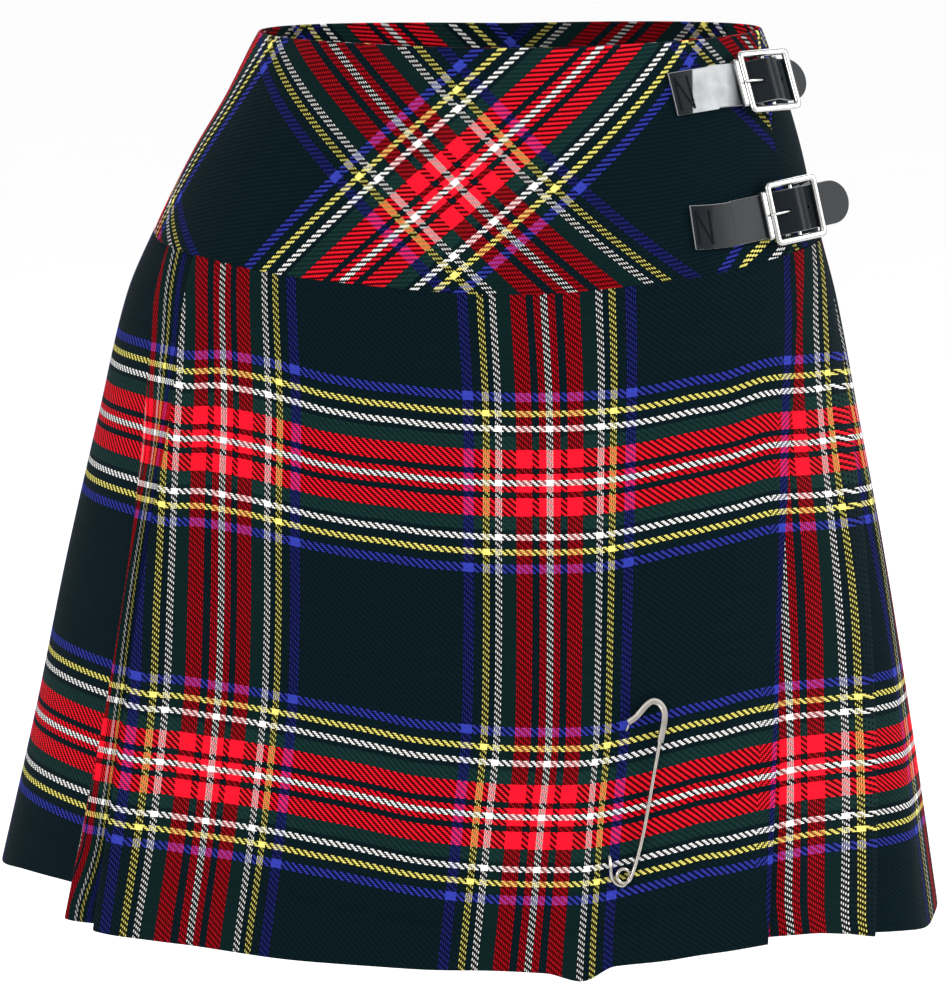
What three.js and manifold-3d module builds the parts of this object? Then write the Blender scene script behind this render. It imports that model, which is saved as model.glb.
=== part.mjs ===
// A wrap mini kilt with a bias-cut yoke, hung as it is worn. Millimetres, +Z up, front towards -Y.
// The origin is the middle of the waist opening, level with the yoke's top edge at the front.
// Angles are in degrees round the vertical axis: 0 at centre front, + to the viewer's right.
import * as THREE from 'three';
import { mergeVertices } from 'three/addons/utils/BufferGeometryUtils.js';
import Module from 'manifold-3d';

const wasm = await Module();
wasm.setup();

// Cloth and seams
const CLOTH = 1.1;
const YOKE_CLOTH = 1.3;
const SEAM_GAP = 0.3;
const CUT_MARGIN = 0.05;
const HIDDEN_GAP = 0.6;
const PLEAT_PITCH_TOP = 1.6;
const PLEAT_PITCH_HEM = 5.2;
const PITCH_GROWTH = 1.2;
const UNDER_GAP_TOP = 0.45;
const UNDER_GAP_HEM = 4.0;
const HAIRPIN_STEPS = 4;
const LAYER_STEPS = 2;
const FACE_STEPS = { apron: 26, strip: 4, side: 8, back: 3, flat: 10, lap: 6, under: 17 };
const PANEL_ROWS = 7;
const ROW_CROWDING = 1.35;
const YOKE_ROWS = 7;

// Half widths of the outer surface at each level, and how square the section is (2 is an ellipse)
const RINGS = [
  { z: 12, left: 129.6, right: 132.3, front: 100.5, back: 100.5, power: 2.3 },
  { z: 0, left: 136, right: 136.5, front: 104, back: 104, power: 2.3 },
  { z: -30, left: 151.5, right: 147.5, front: 113, back: 114, power: 2.4 },
  { z: -60, left: 169.5, right: 156.5, front: 121, back: 124, power: 2.45 },
  { z: -100, left: 190, right: 165.5, front: 130, back: 135, power: 2.45 },
  { z: -135, left: 205.5, right: 175, front: 138, back: 144, power: 2.4 },
  { z: -200, left: 222, right: 188.5, front: 149, back: 156, power: 2.3 },
  { z: -280, left: 241.5, right: 205, front: 163, back: 170, power: 2.2 },
  { z: -360, left: 259, right: 219.5, front: 177, back: 184, power: 2.1 },
  { z: -475, left: 287, right: 239, front: 195, back: 204, power: 2.0 },
];

// Height of the yoke's top edge, of the yoke seam, and of the hem under the aprons and under the pleats
const TOP_EDGE = [
  { angle: -180, z: 2 },
  { angle: -90, z: 3.5 },
  { angle: 0, z: 0 },
  { angle: 90, z: 5 },
  { angle: 180, z: 2 },
];
const YOKE_SEAM = [
  { angle: -180, z: -118 },
  { angle: -165, z: -118 },
  { angle: -90, z: -101 },
  { angle: -64, z: -106 },
  { angle: -41, z: -114 },
  { angle: 0, z: -120.5 },
  { angle: 33, z: -115 },
  { angle: 61, z: -106.5 },
  { angle: 90, z: -104 },
  { angle: 165, z: -118 },
  { angle: 180, z: -118 },
];
const APRON_HEM = [
  { angle: -75, z: -449 },
  { angle: -60, z: -456.5 },
  { angle: -45, z: -453 },
  { angle: -24, z: -454 },
  { angle: -6, z: -454.5 },
  { angle: 5, z: -456 },
  { angle: 10.2, z: -460 },
  { angle: 15.5, z: -453.5 },
  { angle: 24, z: -453 },
  { angle: 40, z: -451.5 },
  { angle: 55, z: -457 },
  { angle: 70, z: -467 },
];
const PLEAT_HEM = [
  { angle: -322, z: -449 },
  { angle: -313, z: -451.5 },
  { angle: -306, z: -456.5 },
  { angle: -299, z: -464 },
  { angle: -292, z: -468.5 },
  { angle: -281, z: -476 },
  { angle: -262, z: -474 },
  { angle: -180, z: -457 },
  { angle: -110, z: -452 },
  { angle: -88, z: -450 },
  { angle: -76, z: -441.5 },
  { angle: -66, z: -439.5 },
];

// Creases by angle at four depths down the panels: at the seam, and at these shares of the way to the hem
const CREASE_SHARES = [0, 0.2, 0.5, 1];
const FREE_EDGE = [62, 55.2, 47.3, 39.5];
const LEFT_CREASES = [
  { at: [-62.8, -60.7, -61, -61], underlap: [7, 7, 7, 7] },
  { at: [-71, -66.4, -64, -65.8], underlap: [3.2, 3, 2.2, 2.6] },
];
const BACK_CREASES = 12;
const FIRST_BACK_CREASE = -96;
const LAST_BACK_CREASE = -262;
const BACK_UNDERLAP_SHARE = 0.62;
const RIGHT_CREASE = [-280, -285, -290.5, -300.1];
const RIGHT_UNDERLAP = [9, 9, 9, 9];
// How soon a face comes level again after its crease, and how the bottom of the inverted pleat swells
const FACE_RISE = 1.6;
const SWELL = 1.1;
const SWELL_EDGE = 0.3;
const UNDER_APRON_END = -36;
const UNDER_APRON_RAISED = 5;
const LAP_MARGIN = 1;
const MEAN_SEAM_LEVEL = -110;
const MEAN_HEM_LEVEL = -455;
const TURN = 360;

// Yoke pieces
const LEFT_SIDE_SEAM = -92;
const RIGHT_SIDE_SEAM = 92;
const UNDER_YOKE_END = -52;
const YOKE_FREE_EDGE = [
  { share: 0, angle: 72.5 },
  { share: 0.44, angle: 63.8 },
  { share: 1, angle: 61.8 },
];
const UNDER_YOKE_DEPTH = YOKE_CLOTH + HIDDEN_GAP;
const YOKE_STEPS = { front: 32, back: 30, under: 30 };

// Straps, buckles and tabs
const STRAP_WIDTH = 22;
const STRAP_THICKNESS = 2;
const STRAP_SEAT = 0.4;
const STRAP_ROWS = 6;
const STRAP_STEPS = { onYoke: 5, straight: 20, tip: 3 };
const SLOPE_SAMPLE = 5;
const HUMP_SAMPLE = 0.1;
const TIP_START = 3;
const STRAP_HUMP = 5.2;
const HUMP_REACH = 13;
const FRAME_SIZE = 33;
const FRAME_BAR = 3.4;
const FRAME_DEPTH = 2.6;
const FRAME_CORNER = 3;
const FRAME_LEVEL = 3.9;
const CENTRE_BAR_LEVEL = 2.7;
const CENTRE_BAR_RADIUS = 1.2;
const KEEPER_WIDTH = 3.2;
const KEEPER_HEIGHT = 25.4;
const KEEPER_WALL = 1;
const KEEPER_AT = -18.3;
const KEEPER_CROWN = 1.9;
const KEEPER_CORNER = 1.6;
const RUNNING_GAP = 0.3;
const OPENING_CORNER = 0.8;
const EYE_WALL = 1.2;
const EYE_WIDTH = 2;
const PRONG_RADIUS = 0.8;
const PRONG_CLEARANCE = 0.4;
const PRONG_STEPS = 12;
const PRONG = [
  { along: -1.4, rise: 0.1 },
  { along: -8, rise: 1.75 },
  { along: -14, rise: 2.35 },
  { along: -17.4, rise: 2.2 },
];
const HOLE_RADIUS = 1.2;
const SPARE_HOLE_AT = 8.5;
const HOLE_TOOL = 8;
const TAB_WIDTH = 20;
const TAB_CLOTH = 1;
const TAB_ANGLES = [83.5, 79.5, 75.5, 72.5];
const TAB_RETURN = [0.35, 0.8];
const TAB_SIDES = [-1, -0.33, 0.33, 1];
const TAB_SLOT = 2.8;
const LOOP_STEPS = 8;
// Each strap: the angle and height of its sewn end, how it rises, the angle where it leaves the yoke, how far
// on its buckle sits, and how far its tip runs past the buckle
const STRAPS = [
  { name: 'upper', start: 39.6, z: -23, rises: [0.12, 0.08, 0.04], leaves: 50, toBuckle: 34.4, tip: 25.5 },
  { name: 'lower', start: 38.6, z: -88.7, rises: [-0.02, 0.08, 0.12], leaves: 47.5, toBuckle: 38, tip: 36 },
];

// Kilt pin, in the plane of the apron: p runs along it from the coil to the clasp, q across it to the
// viewer's left, and r out of the cloth
const PIN_COIL = { angle: 17.2, z: -408.5 };
const PIN_CLASP = { angle: 24, z: -342 };
const PIN_WIRE = 0.95;
const PIN_STAND = 3.4;
const PIN_HOLE = 2.1;
const COIL_RADIUS = 3.5;
const COIL_DROP = 2.1;
const COIL_STEPS = 15;
const PIN_STEPS = 72;
const CLASP_STEPS = 18;
const CLASP_CROWN = 0.5;
const HOLE_FROM = 4;
const HOLE_TO = -5.5;
const FRONT_ARM = [
  { p: 71, q: 0 },
  { p: 53.3, q: -1.4 },
  { p: 36, q: -3 },
  { p: 19.7, q: -4.1 },
  { p: 6, q: -4.1 },
];
const COIL_SWEEP = [
  { p: -4.8, q: -1.5 },
  { p: -4.7, q: 2.5 },
  { p: -1.9, q: 5.7 },
  { p: 2.4, q: 7.4 },
];
const BACK_ARM = [
  { p: 6.3, q: 8.5, r: -0.2 },
  { p: 9.6, q: 9.2, r: -2.7 },
  { p: 14.5, q: 10, r: -3.3 },
  { p: 42, q: 13.2, r: -3.3 },
  { p: 66.2, q: 16.2, r: -3.4 },
  { p: 70.4, q: 16.8, r: -2.3 },
  { p: 72.4, q: 17.1, r: -0.3 },
  { p: 74.7, q: 17.5, r: 1.2 },
];
const PIN_HOLES = [
  { p: 7.2, q: 8.7, tilt: 3.4 },
  { p: 71, q: 16.9, tilt: -3.8 },
];
const CLASP_WIDTH = 3.2;
const CLASP_DEPTH = 2.3;
const CLASP = [
  { p: 69.6, q: -0.2 },
  { p: 79.8, q: 0.5 },
  { p: 85.4, q: 2 },
  { p: 88.6, q: 5.6 },
  { p: 88.8, q: 9 },
  { p: 86.4, q: 11.6 },
  { p: 82.2, q: 13.9 },
  { p: 78.9, q: 15.7 },
  { p: 75.3, q: 18.9 },
];

const GREY_STEEL = { color: 0xc9c9c6, roughness: 0.28, metalness: 1 };
const TARTAN_BLACK = { color: 0x14191c, roughness: 0.9, metalness: 0 };
const TARTAN_RED = { color: 0x8a1420, roughness: 0.9, metalness: 0 };
const LEATHER = { color: 0x1c1d20, roughness: 0.45, metalness: 0 };

const garment = new THREE.Group();

function addMesh(name, geometry, finish) {
  const mesh = new THREE.Mesh(geometry, new THREE.MeshStandardMaterial(finish));
  mesh.name = name;
  garment.add(mesh);
  return mesh;
}

// A smooth curve through a table's rows, read at x
function readTable(rows, xKey, yKey, x) {
  const order = rows[0][xKey] < rows[rows.length - 1][xKey] ? rows : [...rows].reverse();
  const last = order.length - 1;
  const clamped = Math.min(Math.max(x, order[0][xKey]), order[last][xKey]);
  let i = 0;
  while (i < last - 1 && order[i + 1][xKey] < clamped) i += 1;
  const slope = (k) => (order[k + 1][yKey] - order[k][yKey]) / (order[k + 1][xKey] - order[k][xKey]);
  const tangent = (k) => {
    if (k === 0) return slope(0);
    if (k === last) return slope(last - 1);
    const before = slope(k - 1);
    const after = slope(k);
    return before * after <= 0 ? 0 : (2 * before * after) / (before + after);
  };
  const width = order[i + 1][xKey] - order[i][xKey];
  const t = (clamped - order[i][xKey]) / width;
  const h00 = (1 + 2 * t) * (1 - t) ** 2;
  const h10 = t * (1 - t) ** 2;
  const h01 = t * t * (3 - 2 * t);
  const h11 = t * t * (t - 1);
  const level = h00 * order[i][yKey] + h01 * order[i + 1][yKey];
  return level + width * (h10 * tangent(i) + h11 * tangent(i + 1));
}

function readShares(values, share) {
  const rows = CREASE_SHARES.map((x, i) => ({ x, y: values[i] }));
  return readTable(rows, 'x', 'y', share);
}

function smooth(t) {
  const x = Math.min(Math.max(t, 0), 1);
  return x * x * (3 - 2 * x);
}

function mix(a, b, t) {
  return a + (b - a) * t;
}

function range(count) {
  return Array.from({ length: count }, (_, i) => i);
}

// Steps from a to b, leaving the first out
function stepsTo(a, b, count) {
  return range(count).map((i) => mix(a, b, (i + 1) / count));
}

// The point of the outer surface at an angle and height, and the surface's level direction outwards
function surface(angle, z) {
  const column = (key) => readTable(RINGS, 'z', key, z);
  const radians = THREE.MathUtils.degToRad(angle);
  const s = Math.sin(radians);
  const c = Math.cos(radians);
  const a = column(s > 0 ? 'right' : 'left');
  const b = column(c > 0 ? 'front' : 'back');
  const power = column('power');
  const radius = (Math.abs(s / a) ** power + Math.abs(c / b) ** power) ** (-1 / power);
  const x = radius * s;
  const y = -radius * c;
  const nx = (Math.sign(x) * Math.abs(x) ** (power - 1)) / a ** power;
  const ny = (Math.sign(y) * Math.abs(y) ** (power - 1)) / b ** power;
  return { point: new THREE.Vector3(x, y, z), out: new THREE.Vector3(nx, ny, 0).normalize() };
}

function skin(angle, z, offset) {
  const { point, out } = surface(angle, z);
  return point.addScaledVector(out, offset);
}

function arcPerDegree(angle, z) {
  return surface(angle + 0.5, z).point.distanceTo(surface(angle - 0.5, z).point);
}

// The same angle, between -180 and 180
function wrapped(angle) {
  return THREE.MathUtils.euclideanModulo(angle + TURN / 2, TURN) - TURN / 2;
}

function seamHeight(angle) {
  return readTable(YOKE_SEAM, 'angle', 'z', wrapped(angle));
}

function topHeight(angle) {
  return readTable(TOP_EDGE, 'angle', 'z', wrapped(angle));
}

// A closed slab between two grids of points, rows by columns
function slab(outer, inner) {
  const rows = outer.length;
  const columns = outer[0].length;
  const positions = [];
  outer.flat().forEach((p) => positions.push(p.x, p.y, p.z));
  inner.flat().forEach((p) => positions.push(p.x, p.y, p.z));
  const at = (face, i, j) => face * rows * columns + i * columns + j;
  const triangles = [];
  const quad = (a, b, c, d) => triangles.push(a, b, c, a, c, d);
  for (let i = 0; i < rows - 1; i += 1) {
    for (let j = 0; j < columns - 1; j += 1) {
      quad(at(0, i, j), at(0, i, j + 1), at(0, i + 1, j + 1), at(0, i + 1, j));
      quad(at(1, i, j), at(1, i + 1, j), at(1, i + 1, j + 1), at(1, i, j + 1));
    }
    quad(at(0, i, 0), at(0, i + 1, 0), at(1, i + 1, 0), at(1, i, 0));
    quad(at(0, i, columns - 1), at(1, i, columns - 1), at(1, i + 1, columns - 1), at(0, i + 1, columns - 1));
  }
  for (let j = 0; j < columns - 1; j += 1) {
    quad(at(0, 0, j), at(1, 0, j), at(1, 0, j + 1), at(0, 0, j + 1));
    quad(at(0, rows - 1, j), at(0, rows - 1, j + 1), at(1, rows - 1, j + 1), at(1, rows - 1, j));
  }
  const geometry = new THREE.BufferGeometry();
  geometry.setAttribute('position', new THREE.Float32BufferAttribute(positions, 3));
  geometry.setIndex(triangles);
  return facingOut(geometry);
}

function signedVolume(geometry) {
  const p = geometry.attributes.position;
  const index = geometry.index;
  const a = new THREE.Vector3();
  const b = new THREE.Vector3();
  const c = new THREE.Vector3();
  let volume = 0;
  for (let i = 0; i < index.count; i += 3) {
    a.fromBufferAttribute(p, index.getX(i));
    b.fromBufferAttribute(p, index.getX(i + 1));
    c.fromBufferAttribute(p, index.getX(i + 2));
    volume += a.dot(b.cross(c)) / 6;
  }
  return volume;
}

function facingOut(geometry) {
  if (signedVolume(geometry) < 0) {
    const index = geometry.index.array;
    for (let i = 0; i < index.length; i += 3) [index[i], index[i + 1]] = [index[i + 1], index[i]];
  }
  geometry.computeVertexNormals();
  return geometry;
}

// A wall of a given thickness on rows of centre points, turned with the path and kept level
function wall(rows, thickness) {
  const shift = (row, side) => row.map((p, i) => {
    const before = row[Math.max(i - 1, 0)];
    const after = row[Math.min(i + 1, row.length - 1)];
    const along = after.clone().sub(before).setZ(0).normalize();
    const across = new THREE.Vector3(-along.y, along.x, 0);
    return p.clone().addScaledVector(across, (side * thickness) / 2);
  });
  return slab(rows.map((row) => shift(row, 1)), rows.map((row) => shift(row, -1)));
}

// Booleans
function toSolid(geometry) {
  const bare = geometry.clone();
  bare.deleteAttribute('normal');
  bare.deleteAttribute('uv');
  const merged = mergeVertices(bare, 1e-5);
  return new wasm.Manifold(new wasm.Mesh({
    numProp: 3,
    vertProperties: new Float32Array(merged.attributes.position.array),
    triVerts: new Uint32Array(merged.index.array),
  }));
}

function fromSolid(solid) {
  const mesh = solid.getMesh();
  const geometry = new THREE.BufferGeometry();
  geometry.setAttribute('position', new THREE.Float32BufferAttribute(mesh.vertProperties, 3));
  geometry.setIndex(Array.from(mesh.triVerts));
  geometry.computeVertexNormals();
  return geometry;
}

function cut(geometry, tools) {
  return fromSolid(tools.reduce((solid, tool) => solid.subtract(toSolid(tool)), toSolid(geometry)));
}

function join(geometry, others) {
  return fromSolid(others.reduce((solid, other) => solid.add(toSolid(other)), toSolid(geometry)));
}

// Round section along a smooth path
function rod(points, radius, steps, sides = 8) {
  const section = new THREE.Shape(range(sides).map((i) => {
    const turn = (i / sides) * Math.PI * 2;
    return new THREE.Vector2(radius * Math.cos(turn), radius * Math.sin(turn));
  }));
  const path = new THREE.CatmullRomCurve3(points, false, 'centripetal');
  return new THREE.ExtrudeGeometry(section, { steps, extrudePath: path });
}

// The pleated skirt is one path of cloth, from the over-apron's free edge round by the left to the end of the
// under-apron. Offsets are measured out from the surface, and a pleat's layers lie one pitch apart.
function pleatPitch(share) {
  return mix(PLEAT_PITCH_TOP, PLEAT_PITCH_HEM, share ** PITCH_GROWTH);
}

function underDepth(share) {
  return CLOTH + mix(UNDER_GAP_TOP, UNDER_GAP_HEM, share);
}

function backCrease(k) {
  return mix(FIRST_BACK_CREASE, LAST_BACK_CREASE, k / (BACK_CREASES - 1));
}

// The knife pleats' creases in order at one share of the way down: where each is and how far it laps under
function creaseTable(share) {
  const left = LEFT_CREASES.map((row) => ({
    at: readShares(row.at, share),
    underlap: readShares(row.underlap, share),
  }));
  const width = Math.abs(backCrease(1) - backCrease(0));
  const back = range(BACK_CREASES).map((k) => ({ at: backCrease(k), underlap: width * BACK_UNDERLAP_SHARE }));
  return [...left, ...back];
}

// Half circle between two layers, as steps of angle and offset
function hairpin(angle, from, to, bulge, pitch, z) {
  const reach = pitch / 2 / arcPerDegree(angle, z);
  return range(HAIRPIN_STEPS - 1).map((i) => {
    const turn = ((i + 1) / HAIRPIN_STEPS) * Math.PI;
    const middle = (from + to) / 2;
    return {
      angle: angle + bulge * reach * Math.sin(turn),
      offset: middle + ((from - to) / 2) * Math.cos(turn),
    };
  });
}

// All the stations at one share of the way down, with the index where each piece of cloth ends
function skirtPath(share) {
  const pitch = pleatPitch(share);
  const level = mix(MEAN_SEAM_LEVEL, MEAN_HEM_LEVEL, share);
  const creases = creaseTable(share);
  const stations = [];
  const ends = [];
  const put = (angle, offset, hem) => stations.push({ angle, offset, hem });
  const reachOf = (angle) => pitch / 2 / arcPerDegree(angle, level);

  const start = readShares(FREE_EDGE, share);
  let faceStart = start;
  let faceLow = 0;
  put(start, 0, 'apron');
  creases.forEach((crease, k) => {
    const hem = k < 2 ? 'apron' : 'pleat';
    const nextHem = k < 1 ? 'apron' : 'pleat';
    const steps = [FACE_STEPS.apron, FACE_STEPS.strip, FACE_STEPS.side][k] ?? FACE_STEPS.back;
    const reach = reachOf(crease.at);
    const from = faceStart;
    const low = faceLow;
    const rate = k === 1 ? 1 : FACE_RISE;
    const faceOffset = (angle) => mix(low, 0, smooth((rate * (angle - from)) / (crease.at - from)));
    stepsTo(from, crease.at + reach, steps).forEach((angle) => put(angle, faceOffset(angle), hem));
    const edge = crease.at + reach;
    hairpin(edge, 0, -pitch, -1, pitch, level).forEach((s) => put(s.angle, s.offset, hem));
    const tuck = crease.at + crease.underlap - reach;
    put(edge, -pitch, hem);
    stepsTo(edge, tuck, LAYER_STEPS).forEach((angle) => put(angle, faceOffset(angle) - pitch, hem));
    const depth = faceOffset(tuck);
    ends.push(stations.length - 1);
    hairpin(tuck, depth - pitch, depth - 2 * pitch, 1, pitch, level).forEach((s, i) => {
      put(s.angle, s.offset, i * 2 < HAIRPIN_STEPS - 2 ? hem : nextHem);
    });
    put(tuck, depth - 2 * pitch, nextHem);
    stepsTo(tuck, crease.at, LAYER_STEPS).forEach((angle) => {
      put(angle, faceOffset(Math.max(angle, crease.at)) - 2 * pitch, nextHem);
    });
    faceStart = crease.at;
    faceLow = -2 * pitch;
  });

  // The flat bottom of the inverted pleat on the right, and the fold of the under-apron over it
  const fold = readShares(RIGHT_CREASE, share);
  const lap = readShares(RIGHT_UNDERLAP, share);
  const reach = reachOf(fold);
  const freeEdge = start - TURN;
  const under = underDepth(share);
  const rise = (angle) => mix(0, -under, smooth((angle - fold) / (freeEdge + LAP_MARGIN - fold)));
  const swollen = (angle) => {
    const t = (angle - faceStart) / (fold - faceStart);
    return 2 * pitch * (SWELL * smooth(t / SWELL_EDGE) * smooth((1 - t) / SWELL_EDGE) - 1);
  };
  stepsTo(faceStart, fold, FACE_STEPS.flat).forEach((angle) => put(angle, swollen(angle), 'pleat'));
  const tuck = fold - lap + reach;
  stepsTo(fold, tuck, LAYER_STEPS).forEach((angle) => put(angle, rise(angle) - 2 * pitch, 'pleat'));
  const depth = rise(tuck);
  ends.push(stations.length - 1);
  const innerTurn = hairpin(tuck, depth - 2 * pitch, depth - pitch, -1, pitch, level);
  innerTurn.forEach((s) => put(s.angle, s.offset, 'pleat'));
  put(tuck, depth - pitch, 'pleat');
  stepsTo(tuck, fold - reach, LAYER_STEPS).forEach((angle) => put(angle, rise(angle) - pitch, 'pleat'));
  const outerTurn = hairpin(fold - reach, -pitch, 0, 1, pitch, level);
  outerTurn.forEach((s) => put(s.angle, s.offset, 'pleat'));
  put(fold - reach, 0, 'pleat');
  const lapEnd = freeEdge + LAP_MARGIN;
  stepsTo(fold - reach, lapEnd, FACE_STEPS.lap).forEach((angle) => put(angle, rise(angle), 'pleat'));
  stepsTo(lapEnd, UNDER_APRON_END - TURN, FACE_STEPS.under).forEach((angle) => put(angle, -under, 'under'));
  return { stations, ends };
}

function hemHeight(station) {
  if (station.hem === 'apron') return readTable(APRON_HEM, 'angle', 'z', station.angle);
  if (station.hem === 'pleat') return readTable(PLEAT_HEM, 'angle', 'z', station.angle);
  return readTable(APRON_HEM, 'angle', 'z', station.angle + TURN) + UNDER_APRON_RAISED;
}

function skirtRows() {
  return range(PANEL_ROWS).map((row) => {
    const share = (row / (PANEL_ROWS - 1)) ** ROW_CROWDING;
    const { stations, ends } = skirtPath(share);
    const points = stations.map((s) => {
      const top = seamHeight(s.angle) - SEAM_GAP / 2;
      const z = mix(top, hemHeight(s), share);
      return skin(s.angle, z, s.offset - CLOTH / 2);
    });
    return { points, ends };
  });
}

// The stretch of every row between two path indexes, drawn back at the cut ends to leave the seam gap
function stretch(rows, from, to) {
  const lastIndex = rows[0].points.length - 1;
  const pull = (points, end, inner) => {
    const step = points[inner].clone().sub(points[end]);
    return points[end].clone().addScaledVector(step.normalize(), SEAM_GAP / 2 + CUT_MARGIN);
  };
  return rows.map(({ points }) => {
    const part = points.slice(from, to + 1).map((p) => p.clone());
    if (from > 0) part[0] = pull(points, from, from + 1);
    if (to < lastIndex) part[part.length - 1] = pull(points, to, to - 1);
    return part;
  });
}

// Which cut ends which piece: the crease counts run from the left of the over-apron round to the right
const CLOTH_PIECES = [
  { name: 'over_apron', untilCrease: 1, finish: TARTAN_RED },
  { name: 'left_side_panel', untilCrease: 3, finish: TARTAN_BLACK },
  { name: 'back_pleats_left', untilCrease: 7, finish: TARTAN_RED },
  { name: 'back_pleats_middle', untilCrease: 11, finish: TARTAN_BLACK },
  { name: 'back_pleats_right', untilCrease: 14, finish: TARTAN_RED },
  { name: 'right_side_panel', untilCrease: 15, finish: TARTAN_BLACK },
  { name: 'under_apron', untilCrease: 16, finish: TARTAN_RED },
];

function makeCloth() {
  const rows = skirtRows();
  const ends = rows[0].ends;
  const lastIndex = rows[0].points.length - 1;
  let from = 0;
  CLOTH_PIECES.forEach((piece) => {
    const to = piece.untilCrease <= ends.length ? ends[piece.untilCrease - 1] : lastIndex;
    const bare = wall(stretch(rows, from, to), CLOTH);
    addMesh(piece.name, piece.name === 'over_apron' ? cut(bare, pinHoles()) : bare, piece.finish);
    from = to;
  });
}

// Yoke pieces, from the top edge to the seam
function yokePiece(from, to, steps, offsetAt) {
  const rows = range(YOKE_ROWS).map((row) => {
    const share = row / (YOKE_ROWS - 1);
    const angles = [from(share), ...stepsTo(from(share), to(share), steps)];
    return angles.map((angle) => {
      const z = mix(topHeight(angle), seamHeight(angle) + SEAM_GAP / 2, share);
      return skin(angle, z, offsetAt(angle, share) - YOKE_CLOTH / 2);
    });
  });
  return wall(rows, YOKE_CLOTH);
}

function makeYokes() {
  const gap = SEAM_GAP / 2 / arcPerDegree(LEFT_SIDE_SEAM, MEAN_SEAM_LEVEL / 2);
  const freeEdge = (share) => readTable(YOKE_FREE_EDGE, 'share', 'angle', share);
  const rising = (angle, share) => {
    const start = freeEdge(share) + LAP_MARGIN;
    return -UNDER_YOKE_DEPTH * (1 - smooth((angle - start) / (RIGHT_SIDE_SEAM - start)));
  };
  const front = yokePiece(() => LEFT_SIDE_SEAM + gap, freeEdge, YOKE_STEPS.front, () => 0);
  const backEnd = LEFT_SIDE_SEAM + TURN - gap;
  const back = yokePiece(() => RIGHT_SIDE_SEAM + gap, () => backEnd, YOKE_STEPS.back, () => 0);
  const under = yokePiece(() => UNDER_YOKE_END, () => RIGHT_SIDE_SEAM - gap, YOKE_STEPS.under, rising);
  addMesh('front_yoke', front, TARTAN_RED);
  addMesh('back_yoke', back, TARTAN_BLACK);
  addMesh('under_yoke', under, TARTAN_RED);
}

// Straps: each follows the yoke from its stitched end, then runs straight through its buckle.
// In the straight part u runs along the strap from where it leaves the yoke, v up it and w out of it.
function strapRun(strap) {
  const [riseStart, riseEnd, riseBuckle] = strap.rises;
  const heightAt = (angle) => {
    const t = (angle - strap.start) / (strap.leaves - strap.start);
    const arc = arcPerDegree(angle, strap.z) * (angle - strap.start);
    return strap.z + arc * mix(riseStart, riseEnd, t / 2);
  };
  const z = heightAt(strap.leaves);
  const { point, out } = surface(strap.leaves, z);
  const lower = surface(strap.leaves, z - SLOPE_SAMPLE).point;
  const upper = surface(strap.leaves, z + SLOPE_SAMPLE).point;
  const flare = lower.sub(upper).dot(out) / (2 * SLOPE_SAMPLE);
  const w = out.clone().setZ(flare).normalize();
  const u = new THREE.Vector3(-out.y, out.x, riseBuckle);
  u.addScaledVector(w, -u.dot(w)).normalize();
  const v = w.clone().cross(u);
  const place = (a, b, c) => point.clone().addScaledVector(u, a).addScaledVector(v, b).addScaledVector(w, c);
  return { heightAt, place, basis: new THREE.Matrix4().makeBasis(u, v, w), v, toBuckle: strap.toBuckle };
}

// The strap's height where it passes over the centre bar, at a distance from the buckle's middle
function humpAt(fromBuckle) {
  const t = Math.min(Math.abs(fromBuckle) / HUMP_REACH, 1);
  return STRAP_SEAT + STRAP_THICKNESS / 2 + STRAP_HUMP * Math.cos((t * Math.PI) / 2) ** 2;
}

function strapGeometry(strap, run) {
  const half = STRAP_WIDTH / 2;
  const outerRows = [];
  const innerRows = [];
  const straightEnd = strap.toBuckle + strap.tip - half - TIP_START;
  range(STRAP_ROWS + 1).forEach((row) => {
    const across = half * Math.sin((row / STRAP_ROWS - 0.5) * Math.PI);
    const tip = strap.toBuckle + strap.tip - half + Math.sqrt(Math.max(half ** 2 - across ** 2, 0));
    const outer = [];
    const inner = [];
    range(STRAP_STEPS.onYoke).forEach((i) => {
      const angle = mix(strap.start, strap.leaves, i / STRAP_STEPS.onYoke);
      const z = run.heightAt(angle) + across * run.v.z;
      outer.push(skin(angle, z, STRAP_SEAT + STRAP_THICKNESS));
      inner.push(skin(angle, z, STRAP_SEAT));
    });
    const straight = [0, ...stepsTo(0, straightEnd, STRAP_STEPS.straight)];
    [...straight, ...stepsTo(straightEnd, tip, STRAP_STEPS.tip)].forEach((u) => {
      const fromBuckle = u - strap.toBuckle;
      const level = humpAt(fromBuckle);
      const rise = (humpAt(fromBuckle + HUMP_SAMPLE) - humpAt(fromBuckle - HUMP_SAMPLE)) / (2 * HUMP_SAMPLE);
      const tilt = 1 / Math.hypot(1, rise);
      const lift = (STRAP_THICKNESS / 2) * tilt;
      outer.push(run.place(u - rise * lift, across, level + lift));
      inner.push(run.place(u + rise * lift, across, level - lift));
    });
    outerRows.push(outer);
    innerRows.push(inner);
  });
  return slab(outerRows, innerRows);
}

// A piece made in the buckle's own frame, with its middle at the buckle's centre, level with the frame
function buckleMatrix(run) {
  const matrix = run.basis.clone();
  matrix.setPosition(run.place(run.toBuckle, 0, FRAME_LEVEL));
  return matrix;
}

function addOnBuckle(name, geometry, finish, run) {
  const mesh = addMesh(name, geometry, finish);
  buckleMatrix(run).decompose(mesh.position, mesh.quaternion, mesh.scale);
}

function roundedRectangle(halfWidth, halfHeight, radius, Kind = THREE.Shape) {
  const outline = new Kind();
  const w = halfWidth - radius;
  const h = halfHeight - radius;
  outline.absarc(w, h, radius, 0, Math.PI / 2);
  outline.absarc(-w, h, radius, Math.PI / 2, Math.PI);
  outline.absarc(-w, -h, radius, Math.PI, Math.PI * 1.5);
  outline.absarc(w, -h, radius, Math.PI * 1.5, Math.PI * 2);
  outline.closePath();
  return outline;
}

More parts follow.
